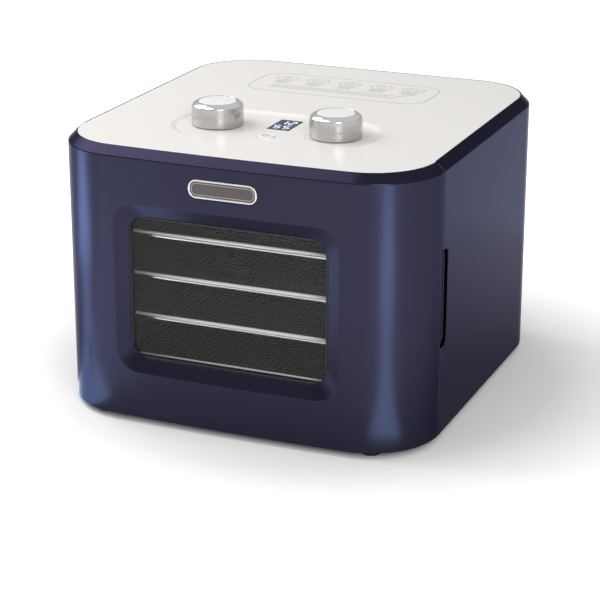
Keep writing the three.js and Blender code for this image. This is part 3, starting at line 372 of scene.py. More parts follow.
# %% Outline helpers
def arc(bm, last, centre, angle, steps):
    """Carries an outline round a centre, and gives its new end."""
    made = bmesh.ops.spin(
        bm, geom=[last], cent=centre, axis=(0, 0, 1), dvec=(0, 0, 0), angle=angle, steps=steps,
    )
    return next(v for v in made["geom_last"] if isinstance(v, bmesh.types.BMVert))


def line(bm, last, end):
    """Carries an outline straight on to a point."""
    made = bmesh.ops.extrude_vert_indiv(bm, verts=[last])["verts"][0]
    made.co = end
    return made


def move_all(bm, move):
    bmesh.ops.translate(bm, vec=move, verts=bm.verts[:])


def turn_all(bm, angle, axis):
    turn = Matrix.Rotation(angle, 3, axis)
    bmesh.ops.rotate(bm, cent=(0, 0, 0), matrix=turn, verts=bm.verts[:])


def fill(bm):
    bmesh.ops.remove_doubles(bm, verts=bm.verts[:], dist=0.01 * MM)
    return bmesh.ops.contextual_create(bm, geom=bm.edges[:])["faces"][0]


def plan_face(bm, inset, z, straight_front=False):
    """The cabinet's plan as one face: straight sides, round corners and a bowed front."""
    x = HALF - inset
    start = bm.verts.new((-x, BACK_CORNER_Y, z))
    if straight_front:
        last = line(bm, start, (-x, FRONT_CORNER_Y - 40 * MM, z))
        last = line(bm, last, (x, FRONT_CORNER_Y - 40 * MM, z))
    else:
        turn = math.pi / 2 - BOW_ANGLE
        last = line(bm, start, (-x, FRONT_CORNER_Y, z))
        last = arc(bm, last, (-CORNER_X, FRONT_CORNER_Y, z), turn, 20)
        last = arc(bm, last, (0, BOW_Y, z), 2 * BOW_ANGLE, 8)
        last = arc(bm, last, (CORNER_X, FRONT_CORNER_Y, z), turn, 20)
    last = line(bm, last, (x, BACK_CORNER_Y, z))
    last = arc(bm, last, (CORNER_X, BACK_CORNER_Y, z), math.pi / 2, 20)
    last = line(bm, last, (-CORNER_X, BACK - inset, z))
    arc(bm, last, (-CORNER_X, BACK_CORNER_Y, z), math.pi / 2, 20)
    return fill(bm)


plan = bmesh.new()
print("the cabinet's plan:", len(plan_face(plan, 0, 0).verts), "corners")
plan.free()

# %% [markdown]
# Solids grow out of faces. A face is raised into a prism, or stepped in to leave a slope
# round it. Blocks and rods start from Blender's own cube and cone.


# %% Solid helpers
def raise_face(bm, face, move):
    """Pulls a face out into a prism, and gives the face at its far end. The first face of
    an outline stays as the prism's foot. A later one would be a wall inside, so it goes."""
    inside = any(len(edge.link_faces) > 1 for edge in face.edges)
    made = bmesh.ops.extrude_face_region(bm, geom=[face])["geom"]
    bmesh.ops.translate(bm, verts=[v for v in made if isinstance(v, bmesh.types.BMVert)], vec=move)
    if inside:
        bmesh.ops.delete(bm, geom=[face], context="FACES_ONLY")
    return next(f for f in made if isinstance(f, bmesh.types.BMFace))


def step_in(bm, face, inset, move):
    """Draws a face in by an even distance and moves it, which leaves a slope round it."""
    bmesh.ops.inset_region(bm, faces=[face], thickness=inset, use_even_offset=True)
    bmesh.ops.translate(bm, verts=face.verts[:], vec=move)
    return face


def cabinet_prism(inset, bottom, top, chamfer=0.0, straight_front=False):
    """A solid on the cabinet's plan, with a chamfer round its top."""
    bm = bmesh.new()
    face = plan_face(bm, inset, bottom, straight_front)
    face = raise_face(bm, face, (0, 0, top - chamfer - bottom))
    if chamfer:
        step_in(bm, face, chamfer, (0, 0, chamfer))
    return bm


def block(low, high, bm=None):
    """A block between two corners, to cut with or to build on."""
    bm = bm or bmesh.new()
    low, high = Vector(low), Vector(high)
    made = bmesh.ops.create_cube(bm, size=1.0)["verts"]
    bmesh.ops.scale(bm, vec=high - low, verts=made)
    bmesh.ops.translate(bm, vec=(high + low) / 2, verts=made)
    return bm


def rod(start, end, radius, bm=None, segments=16):
    """A round rod between two points."""
    bm = bm or bmesh.new()
    start, end = Vector(start), Vector(end)
    made = bmesh.ops.create_cone(
        bm, cap_ends=True, segments=segments, radius1=radius, radius2=radius,
        depth=(end - start).length,
    )["verts"]
    turn = Vector((0, 0, 1)).rotation_difference(end - start).to_matrix()
    bmesh.ops.rotate(bm, cent=(0, 0, 0), matrix=turn, verts=made)
    bmesh.ops.translate(bm, vec=(start + end) / 2, verts=made)
    return bm


solid = cabinet_prism(0, BOTTOM, TOP, CHAMFER)
print("the cabinet as a prism:", round(solid.calc_volume() * 1000, 1), "litres")
solid.free()

# %% [markdown]
# Plates begin as a rectangle whose corners are bevelled round, lying flat, and are then
# stood up. A turned piece begins as half its outline and is spun once round, as on a lathe.


# %% Plate and lathe helpers
def rounded_face(bm, width, height, radius, segments=10):
    """A rounded rectangle in the ground plane, about the origin, as one face."""
    bmesh.ops.create_grid(bm, x_segments=1, y_segments=1, size=0.5)
    bmesh.ops.scale(bm, vec=(width, height, 1), verts=bm.verts[:])
    bmesh.ops.bevel(
        bm, geom=bm.verts[:], offset=radius, offset_type="OFFSET", segments=segments,
        profile=0.5, affect="VERTICES", material=-1,
    )
    bm.faces.ensure_lookup_table()
    return bm.faces[0]


def stand_up(bm, centre):
    """Turns what was made flat to face the front: its height points up, its own up forwards."""
    turn_all(bm, math.pi / 2, "X")
    move_all(bm, centre)
    return bm


def upright_plate(width, height, radius, y_range, centre, segments=12):
    """A rounded plate across the front. Its centre is (x, z)."""
    bm = bmesh.new()
    face = rounded_face(bm, width, height, radius, segments)
    raise_face(bm, face, (0, 0, y_range[1] - y_range[0]))
    return stand_up(bm, (centre[0], y_range[1], centre[1]))


def turned(name, profile, centre, *materials, steps=96, axis="Z", smooth=30, second_above=None):
    """A piece turned on a lathe, from (radius, height) points. What lies above
    second_above takes the second material."""
    bm = bmesh.new()
    last = bm.verts.new((profile[0][0], 0, profile[0][1]))
    for radius, height in profile[1:]:
        last = line(bm, last, (radius, 0, height))
    bmesh.ops.spin(
        bm, geom=bm.verts[:] + bm.edges[:], cent=(0, 0, 0), axis=(0, 0, 1), dvec=(0, 0, 0),
        angle=2 * math.pi, steps=steps, use_merge=True,
    )
    bmesh.ops.remove_doubles(bm, verts=bm.verts[:], dist=0.001 * MM)
    if second_above is not None:
        for face in bm.faces:
            face.material_index = int(face.calc_center_median().z > second_above)
    if axis == "Y":
        turn_all(bm, -math.pi / 2, "X")
    move_all(bm, centre)
    obj = make_object(name, bm, *materials)
    obj.data.shade_smooth()
    obj.data.set_sharp_from_angle(angle=math.radians(smooth))
    return obj


def rounded_profile(radius, bottom, top, bottom_round, top_round, steps=5):
    """The outside of a turned disc with round edges, from axis to axis."""
    points = [(0, bottom)]
    turns = [math.pi / 2 * i / steps for i in range(steps + 1)]
    for turn in turns:
        r = radius - bottom_round * (1 - math.sin(turn))
        points.append((r, bottom + bottom_round * (1 - math.cos(turn))))
    for turn in turns:
        r = radius - top_round * (1 - math.cos(turn))
        points.append((r, top - top_round * (1 - math.sin(turn))))
    return points + [(0, top)]


print("a rounded profile:", len(rounded_profile(3, 0, 1, 0.2, 0.2)), "points")

# %% [markdown]
# ## Finishes
#
# Two effects are shared by nearly every finish, so each is a node group. "fine grain" gives
# the small unevenness of a moulded or sprayed surface, as a roughness and a normal. "soft
# drift" moves a colour a little over a hand's breadth, as real pigment does. Both read the
# object's own coordinates, so a pattern stays on its piece when the piece moves.


# %% Node group helpers
def new_group(name, inputs, outputs):
    group = bpy.data.node_groups.new(name, "ShaderNodeTree")
    for label, kind, default in inputs:
        socket = group.interface.new_socket(label, in_out="INPUT", socket_type=kind)
        socket.default_value = default
    for label, kind in outputs:
        group.interface.new_socket(label, in_out="OUTPUT", socket_type=kind)
    return group, group.nodes.new("NodeGroupInput"), group.nodes.new("NodeGroupOutput")


def link_noise(group, scale_socket, detail):
    """Noise on the object's own coordinates, at the scale that a socket gives."""
    position = group.nodes.new("ShaderNodeTexCoord")
    noise = group.nodes.new("ShaderNodeTexNoise")
    noise.inputs["Detail"].default_value = detail
    group.links.new(position.outputs["Object"], noise.inputs["Vector"])
    group.links.new(scale_socket, noise.inputs["Scale"])
    return noise


print("materials so far:", [material.name for material in bpy.data.materials])

# %% [markdown]
# "fine grain" centres a fine noise about nought, so that its spread goes both ways from the
# roughness that is asked for. The same noise is the height of a faint bump.


# %% Fine grain
def make_grain_group():
    group, start, end = new_group(
        "fine grain",
        [
            ("Scale", "NodeSocketFloat", 900.0),
            ("Roughness", "NodeSocketFloat", 0.4),
            ("Spread", "NodeSocketFloat", 0.05),
            ("Bump", "NodeSocketFloat", 0.05),
        ],
        [("Roughness", "NodeSocketFloat"), ("Normal", "NodeSocketVector")],
    )
    noise = link_noise(group, start.outputs["Scale"], 3.0)
    centred = group.nodes.new("ShaderNodeMath")
    centred.operation = "SUBTRACT"
    centred.inputs[1].default_value = 0.5
    spread = group.nodes.new("ShaderNodeMath")
    spread.operation = "MULTIPLY_ADD"
    bump = group.nodes.new("ShaderNodeBump")
    bump.inputs["Distance"].default_value = 0.1 * MM
    group.links.new(noise.outputs["Fac"], centred.inputs[0])
    group.links.new(centred.outputs[0], spread.inputs[0])
    group.links.new(start.outputs["Spread"], spread.inputs[1])
    group.links.new(start.outputs["Roughness"], spread.inputs[2])
    group.links.new(start.outputs["Bump"], bump.inputs["Strength"])
    group.links.new(noise.outputs["Fac"], bump.inputs["Height"])
    group.links.new(spread.outputs[0], end.inputs["Roughness"])
    group.links.new(bump.outputs["Normal"], end.inputs["Normal"])
    return group


GRAIN = make_grain_group()
print("node group:", GRAIN.name, "with", len(GRAIN.nodes), "nodes")

# %% [markdown]
# "soft drift" mixes two shades of one colour by a broad noise.


# %% Soft drift
def make_drift_group():
    group, start, end = new_group(
        "soft drift",
        [
            ("Colour", "NodeSocketColor", (0.5, 0.5, 0.5, 1)),
            ("Other", "NodeSocketColor", (0.4, 0.4, 0.4, 1)),
            ("Scale", "NodeSocketFloat", 12.0),
        ],
        [("Colour", "NodeSocketColor")],
    )
    noise = link_noise(group, start.outputs["Scale"], 2.0)
    mix = group.nodes.new("ShaderNodeMix")
    mix.data_type = "RGBA"
    group.links.new(noise.outputs["Fac"], mix.inputs["Factor"])
    group.links.new(start.outputs["Colour"], mix.inputs["A"])
    group.links.new(start.outputs["Other"], mix.inputs["B"])
    group.links.new(mix.outputs["Result"], end.inputs["Colour"])
    return group


DRIFT = make_drift_group()
print("node group:", DRIFT.name, "with", len(DRIFT.nodes), "nodes")

# %% [markdown]
# ## One builder for every finish
#
# A finish is a Principled shader that takes its colour from "soft drift" and its roughness
# and normal from "fine grain". What is the same all over a surface, such as how metallic it
# is, is set on the shader's own socket.


# %% Finish builder
def finish(
    name, colour, roughness, grain=0.05, spread=0.06, scale=900, drift=0.9, patch=12, **sockets,
):
    """A finish with a drifting colour and a fine grain. Further sockets are set as they are."""
    material, tree, shader = node_material(name)
    surface = tree.nodes.new("ShaderNodeGroup")
    surface.node_tree = GRAIN
    pigment = tree.nodes.new("ShaderNodeGroup")
    pigment.node_tree = DRIFT
    for group, label, value in (
        (surface, "Scale", scale), (surface, "Roughness", roughness), (surface, "Spread", spread),
        (surface, "Bump", grain), (pigment, "Colour", (*colour, 1)),
        (pigment, "Other", (*(c * drift for c in colour), 1)), (pigment, "Scale", patch),
    ):
        group.inputs[label].default_value = value
    tree.links.new(surface.outputs["Roughness"], shader.inputs["Roughness"])
    tree.links.new(surface.outputs["Normal"], shader.inputs["Normal"])
    tree.links.new(pigment.outputs["Colour"], shader.inputs["Base Color"])
    for label, value in sockets.items():
        shader.inputs[label.replace("_", " ")].default_value = value
    return material


print("a finish uses:", GRAIN.name, "and", DRIFT.name)

# %% [markdown]
# The navy is a metallic lacquer, so it is a dark metal with a violet-blue colour. The tint
# of its grazing reflection is held down, because lacquer doesn't turn into a mirror at its
# edges as bare metal does. The white top, the plastics and the rubber differ in little more
# than colour and gloss, so they share the builder.

# %% Shell and plastic finishes
navy = finish(
    "navy lacquer", (0.027, 0.0255, 0.048), 0.28, grain=0.03, spread=0.05, scale=2600, drift=0.95,
    Metallic=1.0, Specular_Tint=(0.5, 0.5, 0.55, 1),
)
white = finish(
    "white top", (0.86, 0.835, 0.81), 0.33, grain=0.04, scale=1500, drift=0.985,
    Coat_Weight=0.15, Coat_Roughness=0.2,
)
black = finish("black plastic", (0.014, 0.014, 0.016), 0.5, grain=0.12, scale=1300)
grey = finish("grey plastic", (0.055, 0.055, 0.058), 0.55, grain=0.12, scale=1300)
rubber = finish("black rubber", (0.012, 0.012, 0.013), 0.75, grain=0.2, scale=1000)
print("shell and plastic finishes:", len(bpy.data.materials) - 1)

# %% [markdown]
# Metals are told apart by how finely they are ground: polish mirrors, satin spreads the
# mirror image into a sheen. Their colours are pale greys, and brass is the only warm one.

# %% Metal finishes
satin = finish(
    "satin metal", (0.54, 0.52, 0.51), 0.27, grain=0.03, scale=2200, drift=0.97, Metallic=1.0,
)
polished = finish(
    "polished metal", (0.86, 0.855, 0.85), 0.07, grain=0.0, spread=0.03, drift=0.98, Metallic=1.0,
)
chrome = finish(
    "chromed wire", (0.9, 0.895, 0.89), 0.15, grain=0.03, spread=0.08, drift=0.95, Metallic=1.0,
)
dark_wire = finish(
    "dark wire mesh", (0.05, 0.042, 0.042), 0.38, grain=0.08, spread=0.1, drift=0.8, Metallic=0.5,
)
steel = finish(
    "plain steel", (0.42, 0.42, 0.43), 0.38, grain=0.08, spread=0.12, scale=700, Metallic=1.0,
)
brass = finish("brass", (0.62, 0.46, 0.19), 0.3, Metallic=1.0)
badge_metal = finish(
    "badge plate", (0.085, 0.072, 0.070), 0.34, grain=0.06, scale=1800, Metallic=0.7,
)
print("metal finishes:", satin.name, polished.name, chrome.name, dark_wire.name, steel.name)

# %% [markdown]
# The small parts need finishes of their own: print, circuit board, mica, glass, and digits
# that give off light. The smoked glass is mostly see-through by its alpha, and its tint and
# its gloss come on top of what lies behind it.

# %% Small part finishes
# The tray rail is chromed, but this finish is a plain near-white, not a metal: a painted reflection
# that makes it shine.
rail_painted_reflection = finish(
    "bright rail", (0.97, 0.965, 0.955), 0.25, grain=0.03, spread=0.05, drift=0.97,
)
knob_disc = finish("knob disc", (0.86, 0.84, 0.82), 0.4, grain=0.03, drift=0.98)
printed = finish("printed grey", (0.24, 0.235, 0.23), 0.5, drift=0.96)
circuit = finish("circuit board", (0.02, 0.11, 0.06), 0.42, scale=500, drift=0.7, patch=90)
mica = finish("mica", (0.45, 0.38, 0.27), 0.6, grain=0.25, scale=300, drift=0.75, patch=60)
screen = finish("display glass", (0.010, 0.014, 0.026), 0.1, grain=0.0, spread=0.02)
digits = finish(
    "display digits", (0.55, 0.68, 0.9), 0.4, drift=0.95,
    Emission_Color=(0.62, 0.76, 1.0, 1), Emission_Strength=1.0,
)
smoked = finish(
    "smoked glass", (0.05, 0.045, 0.047), 0.05, grain=0.0, spread=0.02, drift=0.95,
    Alpha=0.15, Specular_IOR_Level=0.5,
)
print("all finishes:", len(bpy.data.materials))

# %% [markdown]
# ## The housing
#
# Door and housing look like one smooth form that a seam divides. Both start from the same
# plan with the same chamfer, so their highlights run on across the seam. The housing is the
# plain half: straight sides and two round corners. Its hollow is a second prism, a wall's
# thickness inside the first, and the mouth for the white top is a third. Its inner chamfer
# and its mouth stay clear of the outer edges, because a Boolean dislikes edges that meet.


# %% Shell form
def shell_form(name, straight_front):
    """The navy form, hollow, open below and inside the chamfer."""
    obj = make_object(name, cabinet_prism(0, BOTTOM, TOP, CHAMFER, straight_front), navy)
    inner_top = TOP - WALL - 1 * MM
    inner_chamfer = CHAMFER - WALL + 1.5 * MM
    hollow = cabinet_prism(WALL, BOTTOM - BEYOND, inner_top, inner_chamfer, straight_front)
    rim = CHAMFER + 0.15 * MM
    mouth = cabinet_prism(rim, inner_top - BEYOND, TOP + BEYOND, 0, straight_front)
    return carve(obj, [hollow, mouth])


def everywhere(front, back):
    """A block that takes in all of the cabinet between two depths."""
    return block((-0.2, front, -0.05), (0.2, back, 0.3))


print("shell:", round(WALL / MM), "mm thick, with a chamfer of", round(CHAMFER / MM), "mm")

# %% [markdown]
# The door's edge hides its hinge: two lugs reach forward from the housing and carry upright
# pins. The finger recess is a round-cornered notch beside the door's edge, with a dark
# moulded cup behind it. Both are cut here, before the edges are rounded.

# %% Housing pieces
pin_box = [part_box("hinge_pin_lower"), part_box("hinge_pin_upper")]
HINGE = (pin_box[0][0] + pin_box[0][1]) / 2
LUG_RADIUS = HINGE.x + HALF
LUG_REACH = 7 * MM
PIN_BORE = 1.3 * MM
LUGS = [(low.z + LUG_REACH, high.z - LUG_REACH) for low, high in pin_box]
cup_low, cup_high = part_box("finger_cup")
CUP_WALL = 1.5 * MM
RECESS_BACK = cup_high.y - CUP_WALL
RECESS_BOTTOM, RECESS_TOP = cup_low.z + CUP_WALL, cup_high.z - CUP_WALL


def recess_form(radius=8 * MM):
    """The finger recess: a rounded block that comes in from the side."""
    depth = RECESS_BACK - (HOUSING_EDGE - 20 * MM)
    bm = bmesh.new()
    face = rounded_face(bm, depth, RECESS_TOP - RECESS_BOTTOM, radius, 10)
    raise_face(bm, face, (0, 0, HALF + 10 * MM - (cup_low.x + CUP_WALL)))
    turn = Matrix(((0, 0, 1), (1, 0, 0), (0, 1, 0)))
    bmesh.ops.rotate(bm, cent=(0, 0, 0), matrix=turn, verts=bm.verts[:])
    centre_z = (RECESS_TOP + RECESS_BOTTOM) / 2
    move_all(bm, (cup_low.x + CUP_WALL, RECESS_BACK - depth / 2, centre_z))
    return bm


def hinge_rod(low, high, radius=LUG_RADIUS):
    """An upright rod on the hinge's axis, between two heights."""
    return rod((HINGE.x, HINGE.y, low), (HINGE.x, HINGE.y, high), radius, segments=24)


def hinge_lugs():
    """The two lugs of the housing, as solids to join."""
    forms = []
    for low, high in LUGS:
        forms.append(hinge_rod(low, high))
        arm = block((-HALF, HINGE.y, low), (HINGE.x + LUG_RADIUS, HOUSING_EDGE + 2 * MM, high))
        forms.append(arm)
    return forms


def pin_bores(low_gap, high_gap):
    """Room for the pins, a little more than their own size."""
    return [
        hinge_rod(low.z - low_gap, high.z + high_gap, PIN_BORE) for low, high in pin_box
    ]


print("hinge axis at", [round(c / MM, 1) for c in HINGE.xy], "mm")

# %% [markdown]
# Each stage of the housing is one Boolean: hollow it, take the door's half away, join the
# lugs and the thick backing, then cut the seat of the back cover, the recess and the bores.
# The edges are rounded last, because a bevel needs the finished edges.

# %% Housing
cover_low, cover_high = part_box("back_cover")


def build_housing():
    obj = shell_form("housing_skin", straight_front=True)
    carve(obj, [everywhere(FRONT - 0.05, HOUSING_EDGE)])
    carve(obj, hinge_lugs(), "UNION")
    room = 0.3 * MM
    width, height, middle_z = face_size("back_cover")
    centre = (0, middle_z)
    behind = (cover_low.y - room, BACK + 10 * MM)
    backing = upright_plate(
        width + 8 * MM, height + 8 * MM, 8 * MM,
        (behind[0] - 4.7 * MM, BACK - WALL + 0.5 * MM), centre,
    )
    carve(obj, [backing], "UNION")
    seat = upright_plate(width + 2 * room, height + 2 * room, 8.3 * MM, behind, centre)
    mouth = upright_plate(
        width - 20 * MM, height - 20 * MM, 8 * MM, (BACK - BEYOND, BACK + 10 * MM), centre,
    )
    carve(obj, [seat, mouth, recess_form(), *pin_bores(0, 0)])
    return soften(clean(obj))


housing = place(build_housing(), "cabinet", "navy_shell", "housing_shell")
print("housing:", len(housing.data.polygons), "faces")

# %% [markdown]
# The finger cup is a separate dark moulding behind the recess. The same rounded block cuts
# both, so that their walls line up.

# %% Finger cup
cup = make_object("finger_cup_skin", block(cup_low, cup_high), black)
carve(cup, [recess_form()])
place(soften(clean(cup), 0.4 * MM), "cabinet", "black_plastic", "finger_cup")
print("finger cup:", len(cup.data.polygons), "faces")

# %% [markdown]
# ## The door
#
# The front bows outwards by two millimetres, so a flat recess would be deeper in its middle
# than at its ends. The solid that cuts the sloping window frame therefore has a rim that
# follows the bow and a back that is flat, as the glass is.


# %% Window recess form
SLOPE_WIDTH = 10.5 * MM


def slope_form():
    """Wide and bowed in front of the door, narrow and flat in front of the glass."""
    width, height, centre_z = face_size("glass_gasket", 0.3 * MM)
    proud = 0.3 * MM
    slope_depth = gasket_low.y - 0.4 * MM - FRONT
    spread = SLOPE_WIDTH * (1 + proud / slope_depth)
    wide = (width + 2 * spread, height + 2 * spread)
    bm = bmesh.new()
    face = rounded_face(bm, *wide, 7 * MM + spread, 14)
    long_edges = [e for e in face.edges if e.calc_length() > 40 * MM]
    bmesh.ops.subdivide_edges(bm, edges=long_edges, cuts=10)
    bm.faces.ensure_lookup_table()
    rim = raise_face(bm, bm.faces[0], (0, 0, 1))
    narrow = raise_face(bm, rim, (0, 0, 1))
    bmesh.ops.scale(bm, vec=(width / wide[0], height / wide[1], 1), verts=narrow.verts[:])
    raise_face(bm, narrow, (0, 0, 1))
    turn_all(bm, -math.pi / 2, "X")
    for vert in bm.verts:
        level = round(vert.co.y)
        if level == 1:
            vert.co.y = front_surface(vert.co.x) - proud
        else:
            vert.co.y = (FRONT - 20 * MM, 0, gasket_low.y - 0.4 * MM, FRONT + 30 * MM)[level]
    move_all(bm, (0, 0, centre_z))
    return bm


print("window slope:", SLOPE_WIDTH / MM, "mm wide")

# %% [markdown]
# The door is the shell's other half, with a thick surround joined behind the window. Its
# window edge turns by less than the other edges where the front bows away, so the bevel
# starts at a smaller angle here, and the frame's outline stays crisp all the way round.


# %% Door
def hinge_bosses():
    """Above and below each lug, the door has a round boss for the pin's ends."""
    gap = 0.5 * MM
    reach = LUG_REACH + 2 * MM
    forms = []
    for low, high in LUGS:
        forms.append(hinge_rod(low - gap - reach, low))
        forms.append(hinge_rod(high, high + gap + reach))
    return forms


def lug_notches():
    gap = 0.5 * MM
    inner = HINGE.x + LUG_RADIUS + 1 * MM
    front = HINGE.y - 3.5 * MM
    return [
        block((-HALF - 1 * MM, front, low - gap), (inner, DOOR_EDGE + 1 * MM, high + gap))
        for low, high in LUGS
    ]


def build_door():
    obj = shell_form("door_skin", straight_front=False)
    carve(obj, [everywhere(DOOR_EDGE, BACK + 0.05)])
    width, height, centre_z = face_size("glass_gasket", 0.3 * MM)
    border = 2 * (SLOPE_WIDTH + WALL)
    surround = upright_plate(
        width + border, height + border, 20 * MM, (FRONT + 3 * MM, glass_high.y), (0, centre_z),
    )
    carve(obj, [surround, *hinge_bosses()], "UNION")
    glass_width, glass_height, _ = face_size("door_glass", 0.3 * MM)
    seat = upright_plate(
        glass_width, glass_height, 12 * MM,
        (glass_low.y - 0.3 * MM, glass_low.y + BEYOND), (0, centre_z),
    )
    badge_width, badge_height, badge_z = face_size("badge_rim", 0.15 * MM)
    badge_seat = upright_plate(
        badge_width, badge_height, badge_height / 2 - 0.8 * MM, (FRONT - 5 * MM, FRONT + 1.6 * MM),
        (0, badge_z),
    )
    carve(obj, [slope_form(), seat, badge_seat, *lug_notches(), *pin_bores(2 * MM, 2 * MM)])
    return soften(clean(obj, 0.02, 0.25 * MM), angle=18)


door = place(build_door(), "door", "navy_shell", "door_shell")
print("door:", len(door.data.polygons), "faces")

# %% [markdown]
# ## Window and badge
#
# The pane is tinted rather than dark: most of the light passes, and the dark chamber behind
# it does the rest. The badge is a capsule with a satin rim. Its plate is left blank, with
# only a fine border line.

# %% Window pane
glass_width, glass_height, glass_z = face_size("door_glass")
pane_form = upright_plate(
    glass_width, glass_height, 12 * MM, (glass_low.y, glass_high.y), (0, glass_z),
)
pane = make_object("window_pane", pane_form, smoked)
place(soften(pane, 0.3 * MM), "door", "smoked_glass", "door_glass")
print("pane:", round(glass_width / MM), "by", round(glass_height / MM), "mm")

# %% [markdown]
# A ring is a face with a smaller face inset in it. The middle is taken away, and what is
# left is pulled out to its thickness. The badge, the printed outlines and the trays use it.


# %% Ring helper
def ring_form(width, height, radius, band, thickness, segments=14):
    """A flat rounded ring, made by insetting a face and taking its middle away."""
    bm = bmesh.new()
    face = rounded_face(bm, width, height, radius, segments)
    bmesh.ops.inset_region(
        bm, faces=[face], thickness=band, use_boundary=True, use_even_offset=True,
    )
    bmesh.ops.delete(bm, geom=[face], context="FACES_ONLY")
    made = bmesh.ops.extrude_face_region(bm, geom=bm.faces[:], use_keep_orig=True)["geom"]
    moved = [v for v in made if isinstance(v, bmesh.types.BMVert)]
    bmesh.ops.translate(bm, verts=moved, vec=(0, 0, thickness))
    return bm


print("badge ring:", [round(c / MM) for c in face_size("badge_rim")[:2]], "mm")

# %% [markdown]
# Rim, plate and border line of the badge differ only in their sizes. Their ends are a little
# less than half round, so that no edge is too short for the bevel.

# %% Badge
rim_low, rim_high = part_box("badge_rim")
plate_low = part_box("badge_plate")[0]
rim_width, rim_height, badge_z = face_size("badge_rim")
RIM_BAND = 1.6 * MM

rim_form = ring_form(
    rim_width, rim_height, rim_height / 2 - 0.8 * MM, RIM_BAND, rim_high.y - rim_low.y,
)
badge_rim = make_object("badge_ring", stand_up(rim_form, (0, rim_high.y, badge_z)), satin)
place(soften(badge_rim, 0.5 * MM, segments=4), "door", "chrome", "badge_rim")

plate_width, plate_height, _ = face_size("badge_plate", 0.2 * MM)
plate_form = upright_plate(
    plate_width, plate_height, plate_height / 2 - 0.6 * MM,
    (plate_low.y, rim_high.y - 0.1 * MM), (0, badge_z),
)
plate = make_object("badge_face", plate_form, badge_metal)
place(soften(plate, 0.1 * MM), "door", "badge_grey", "badge_plate")

line_form = ring_form(
    plate_width - 2 * MM, plate_height - 2 * MM, plate_height / 2 - 1.8 * MM, 0.3 * MM, 0.1 * MM,
)
badge_line = make_object(
    "badge_line", stand_up(line_form, (0, plate_low.y + 0.04 * MM, badge_z)), steel,
)
place(badge_line, "door", "chrome")
print("badge:", round(rim_width / MM), "by", round(rim_height / MM), "mm")

# %% [markdown]
# ## The white top
#
# The control recess is a capsule with soft sloping sides, so it is cut with a solid whose
# end is drawn in by many small steps. The steps follow half a wave: they begin and end
# level, which is how a moulded dish runs into the flat round it.

# %% Top panel sizes
controls_y = middle("knob_left").y
window_low, window_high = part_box("display_window")
button_low, button_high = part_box("power_button")
RECESS_FLOOR = window_high.z
RECESS_LENGTH = 170 * MM
RECESS_WIDTH = 92 * MM
RECESS_SLOPE = 6 * MM
DISH_STEPS = 12
BUTTON_BORE = 7.2 * MM
KNOB_BORE = 4.5 * MM


def dish_form():
    """The capsule dish, with a slope that begins and ends level."""
    bm = bmesh.new()
    face = rounded_face(bm, RECESS_LENGTH, RECESS_WIDTH, RECESS_WIDTH / 2 - 1 * MM, 24)
    move_all(bm, (0, controls_y, TOP + 5 * MM))
    face = raise_face(bm, face, (0, 0, -5 * MM - 0.005 * MM))
    depth = TOP - RECESS_FLOOR
    for i in range(DISH_STEPS):
        start, end = (0.5 - 0.5 * math.cos(math.pi * j / DISH_STEPS) for j in (i, i + 1))
        step_in(bm, face, RECESS_SLOPE / DISH_STEPS, (0, 0, -depth * (end - start)))
    return bm


print("dish:", round((TOP - RECESS_FLOOR) / MM, 1), "mm deep")

# %% [markdown]
# The top itself is a low prism on the cabinet's plan. The dish, the display's window, the
# button's bore and the knobs' bores are cut from it together.


# %% Top panel
def bore(x, y, radius, segments):
    """An upright hole through the top, for a shaft or a button."""
    return rod((x, y, TOP - 30 * MM), (x, y, TOP + 10 * MM), radius, segments=segments)


def build_top():
    obj = make_object("top_skin", cabinet_prism(CHAMFER + 0.45 * MM, TOP - 6 * MM, TOP), white)
    room = Vector((0.3, 0.3, 10)) * MM
    window_room = block(window_low - room, window_high + room)
    bores = [bore(0, middle("power_button").y, BUTTON_BORE, 64)]
    for knob in ("knob_left", "knob_right"):
        bores.append(bore(middle(knob).x, controls_y, KNOB_BORE, 32))
    carve(obj, [dish_form(), window_room, *bores])
    return soften(clean(obj, 0.05), 0.45 * MM, 40)


top = place(build_top(), "cabinet", "white_panel", "top_panel")
print("top:", len(top.data.polygons), "faces")

# %% [markdown]
# ## Knobs
#
# A knob is turned on a lathe: a satin side, a wide polished bevel, a thin rim and a pale
# disc let into the top. Satin and polish are two materials on one mesh, divided by height.

# %% Knobs
def knob_profile(low, high):
    radius = 20 * MM
    cap = 14.9 * MM
    side_top = high - 3.1 * MM
    return [
        (0, low + 0.9 * MM), (radius - 3 * MM, low + 0.9 * MM), (radius - 2.7 * MM, low),
        (radius - 0.5 * MM, low), (radius - 0.15 * MM, low + 0.12 * MM), (radius, low + 0.5 * MM),
        (radius, side_top - 0.3 * MM), (radius - 0.06 * MM, side_top),
        (radius - 0.35 * MM, side_top + 0.5 * MM), (radius - 0.95 * MM, side_top + 1.2 * MM),
        (radius - 1.9 * MM, side_top + 1.95 * MM), (radius - 3.1 * MM, side_top + 2.6 * MM),
        (radius - 4.1 * MM, side_top + 2.95 * MM), (cap + 0.5 * MM, high),
        (cap + 0.1 * MM, high - 0.05 * MM), (cap, high - 0.2 * MM), (cap, high - 1.5 * MM),
        (0, high - 1.5 * MM),
    ]


for side in ("left", "right"):
    knob_low, knob_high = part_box("knob_" + side)
    centre = (middle("knob_" + side).x, controls_y, 0)
    body = turned(
        "knob_" + side + "_skin", knob_profile(knob_low.z, knob_high.z), centre, satin, polished,
        steps=128, smooth=24, second_above=knob_high.z - 3 * MM,
    )
    place(body, "knob_" + side, "satin_metal", "knob_" + side)
    disc_low, disc_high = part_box("knob_cap_" + side)
    disc_profile = rounded_profile(14.6 * MM, disc_low.z, disc_high.z, 0.1 * MM, 0.35 * MM)
    disc = turned("knob_disc_" + side, disc_profile, centre, knob_disc, steps=128)
    place(disc, "knob_" + side, "knob_disc", "knob_cap_" + side)
    print("knob", side, "at", [round(c / MM) for c in centre])

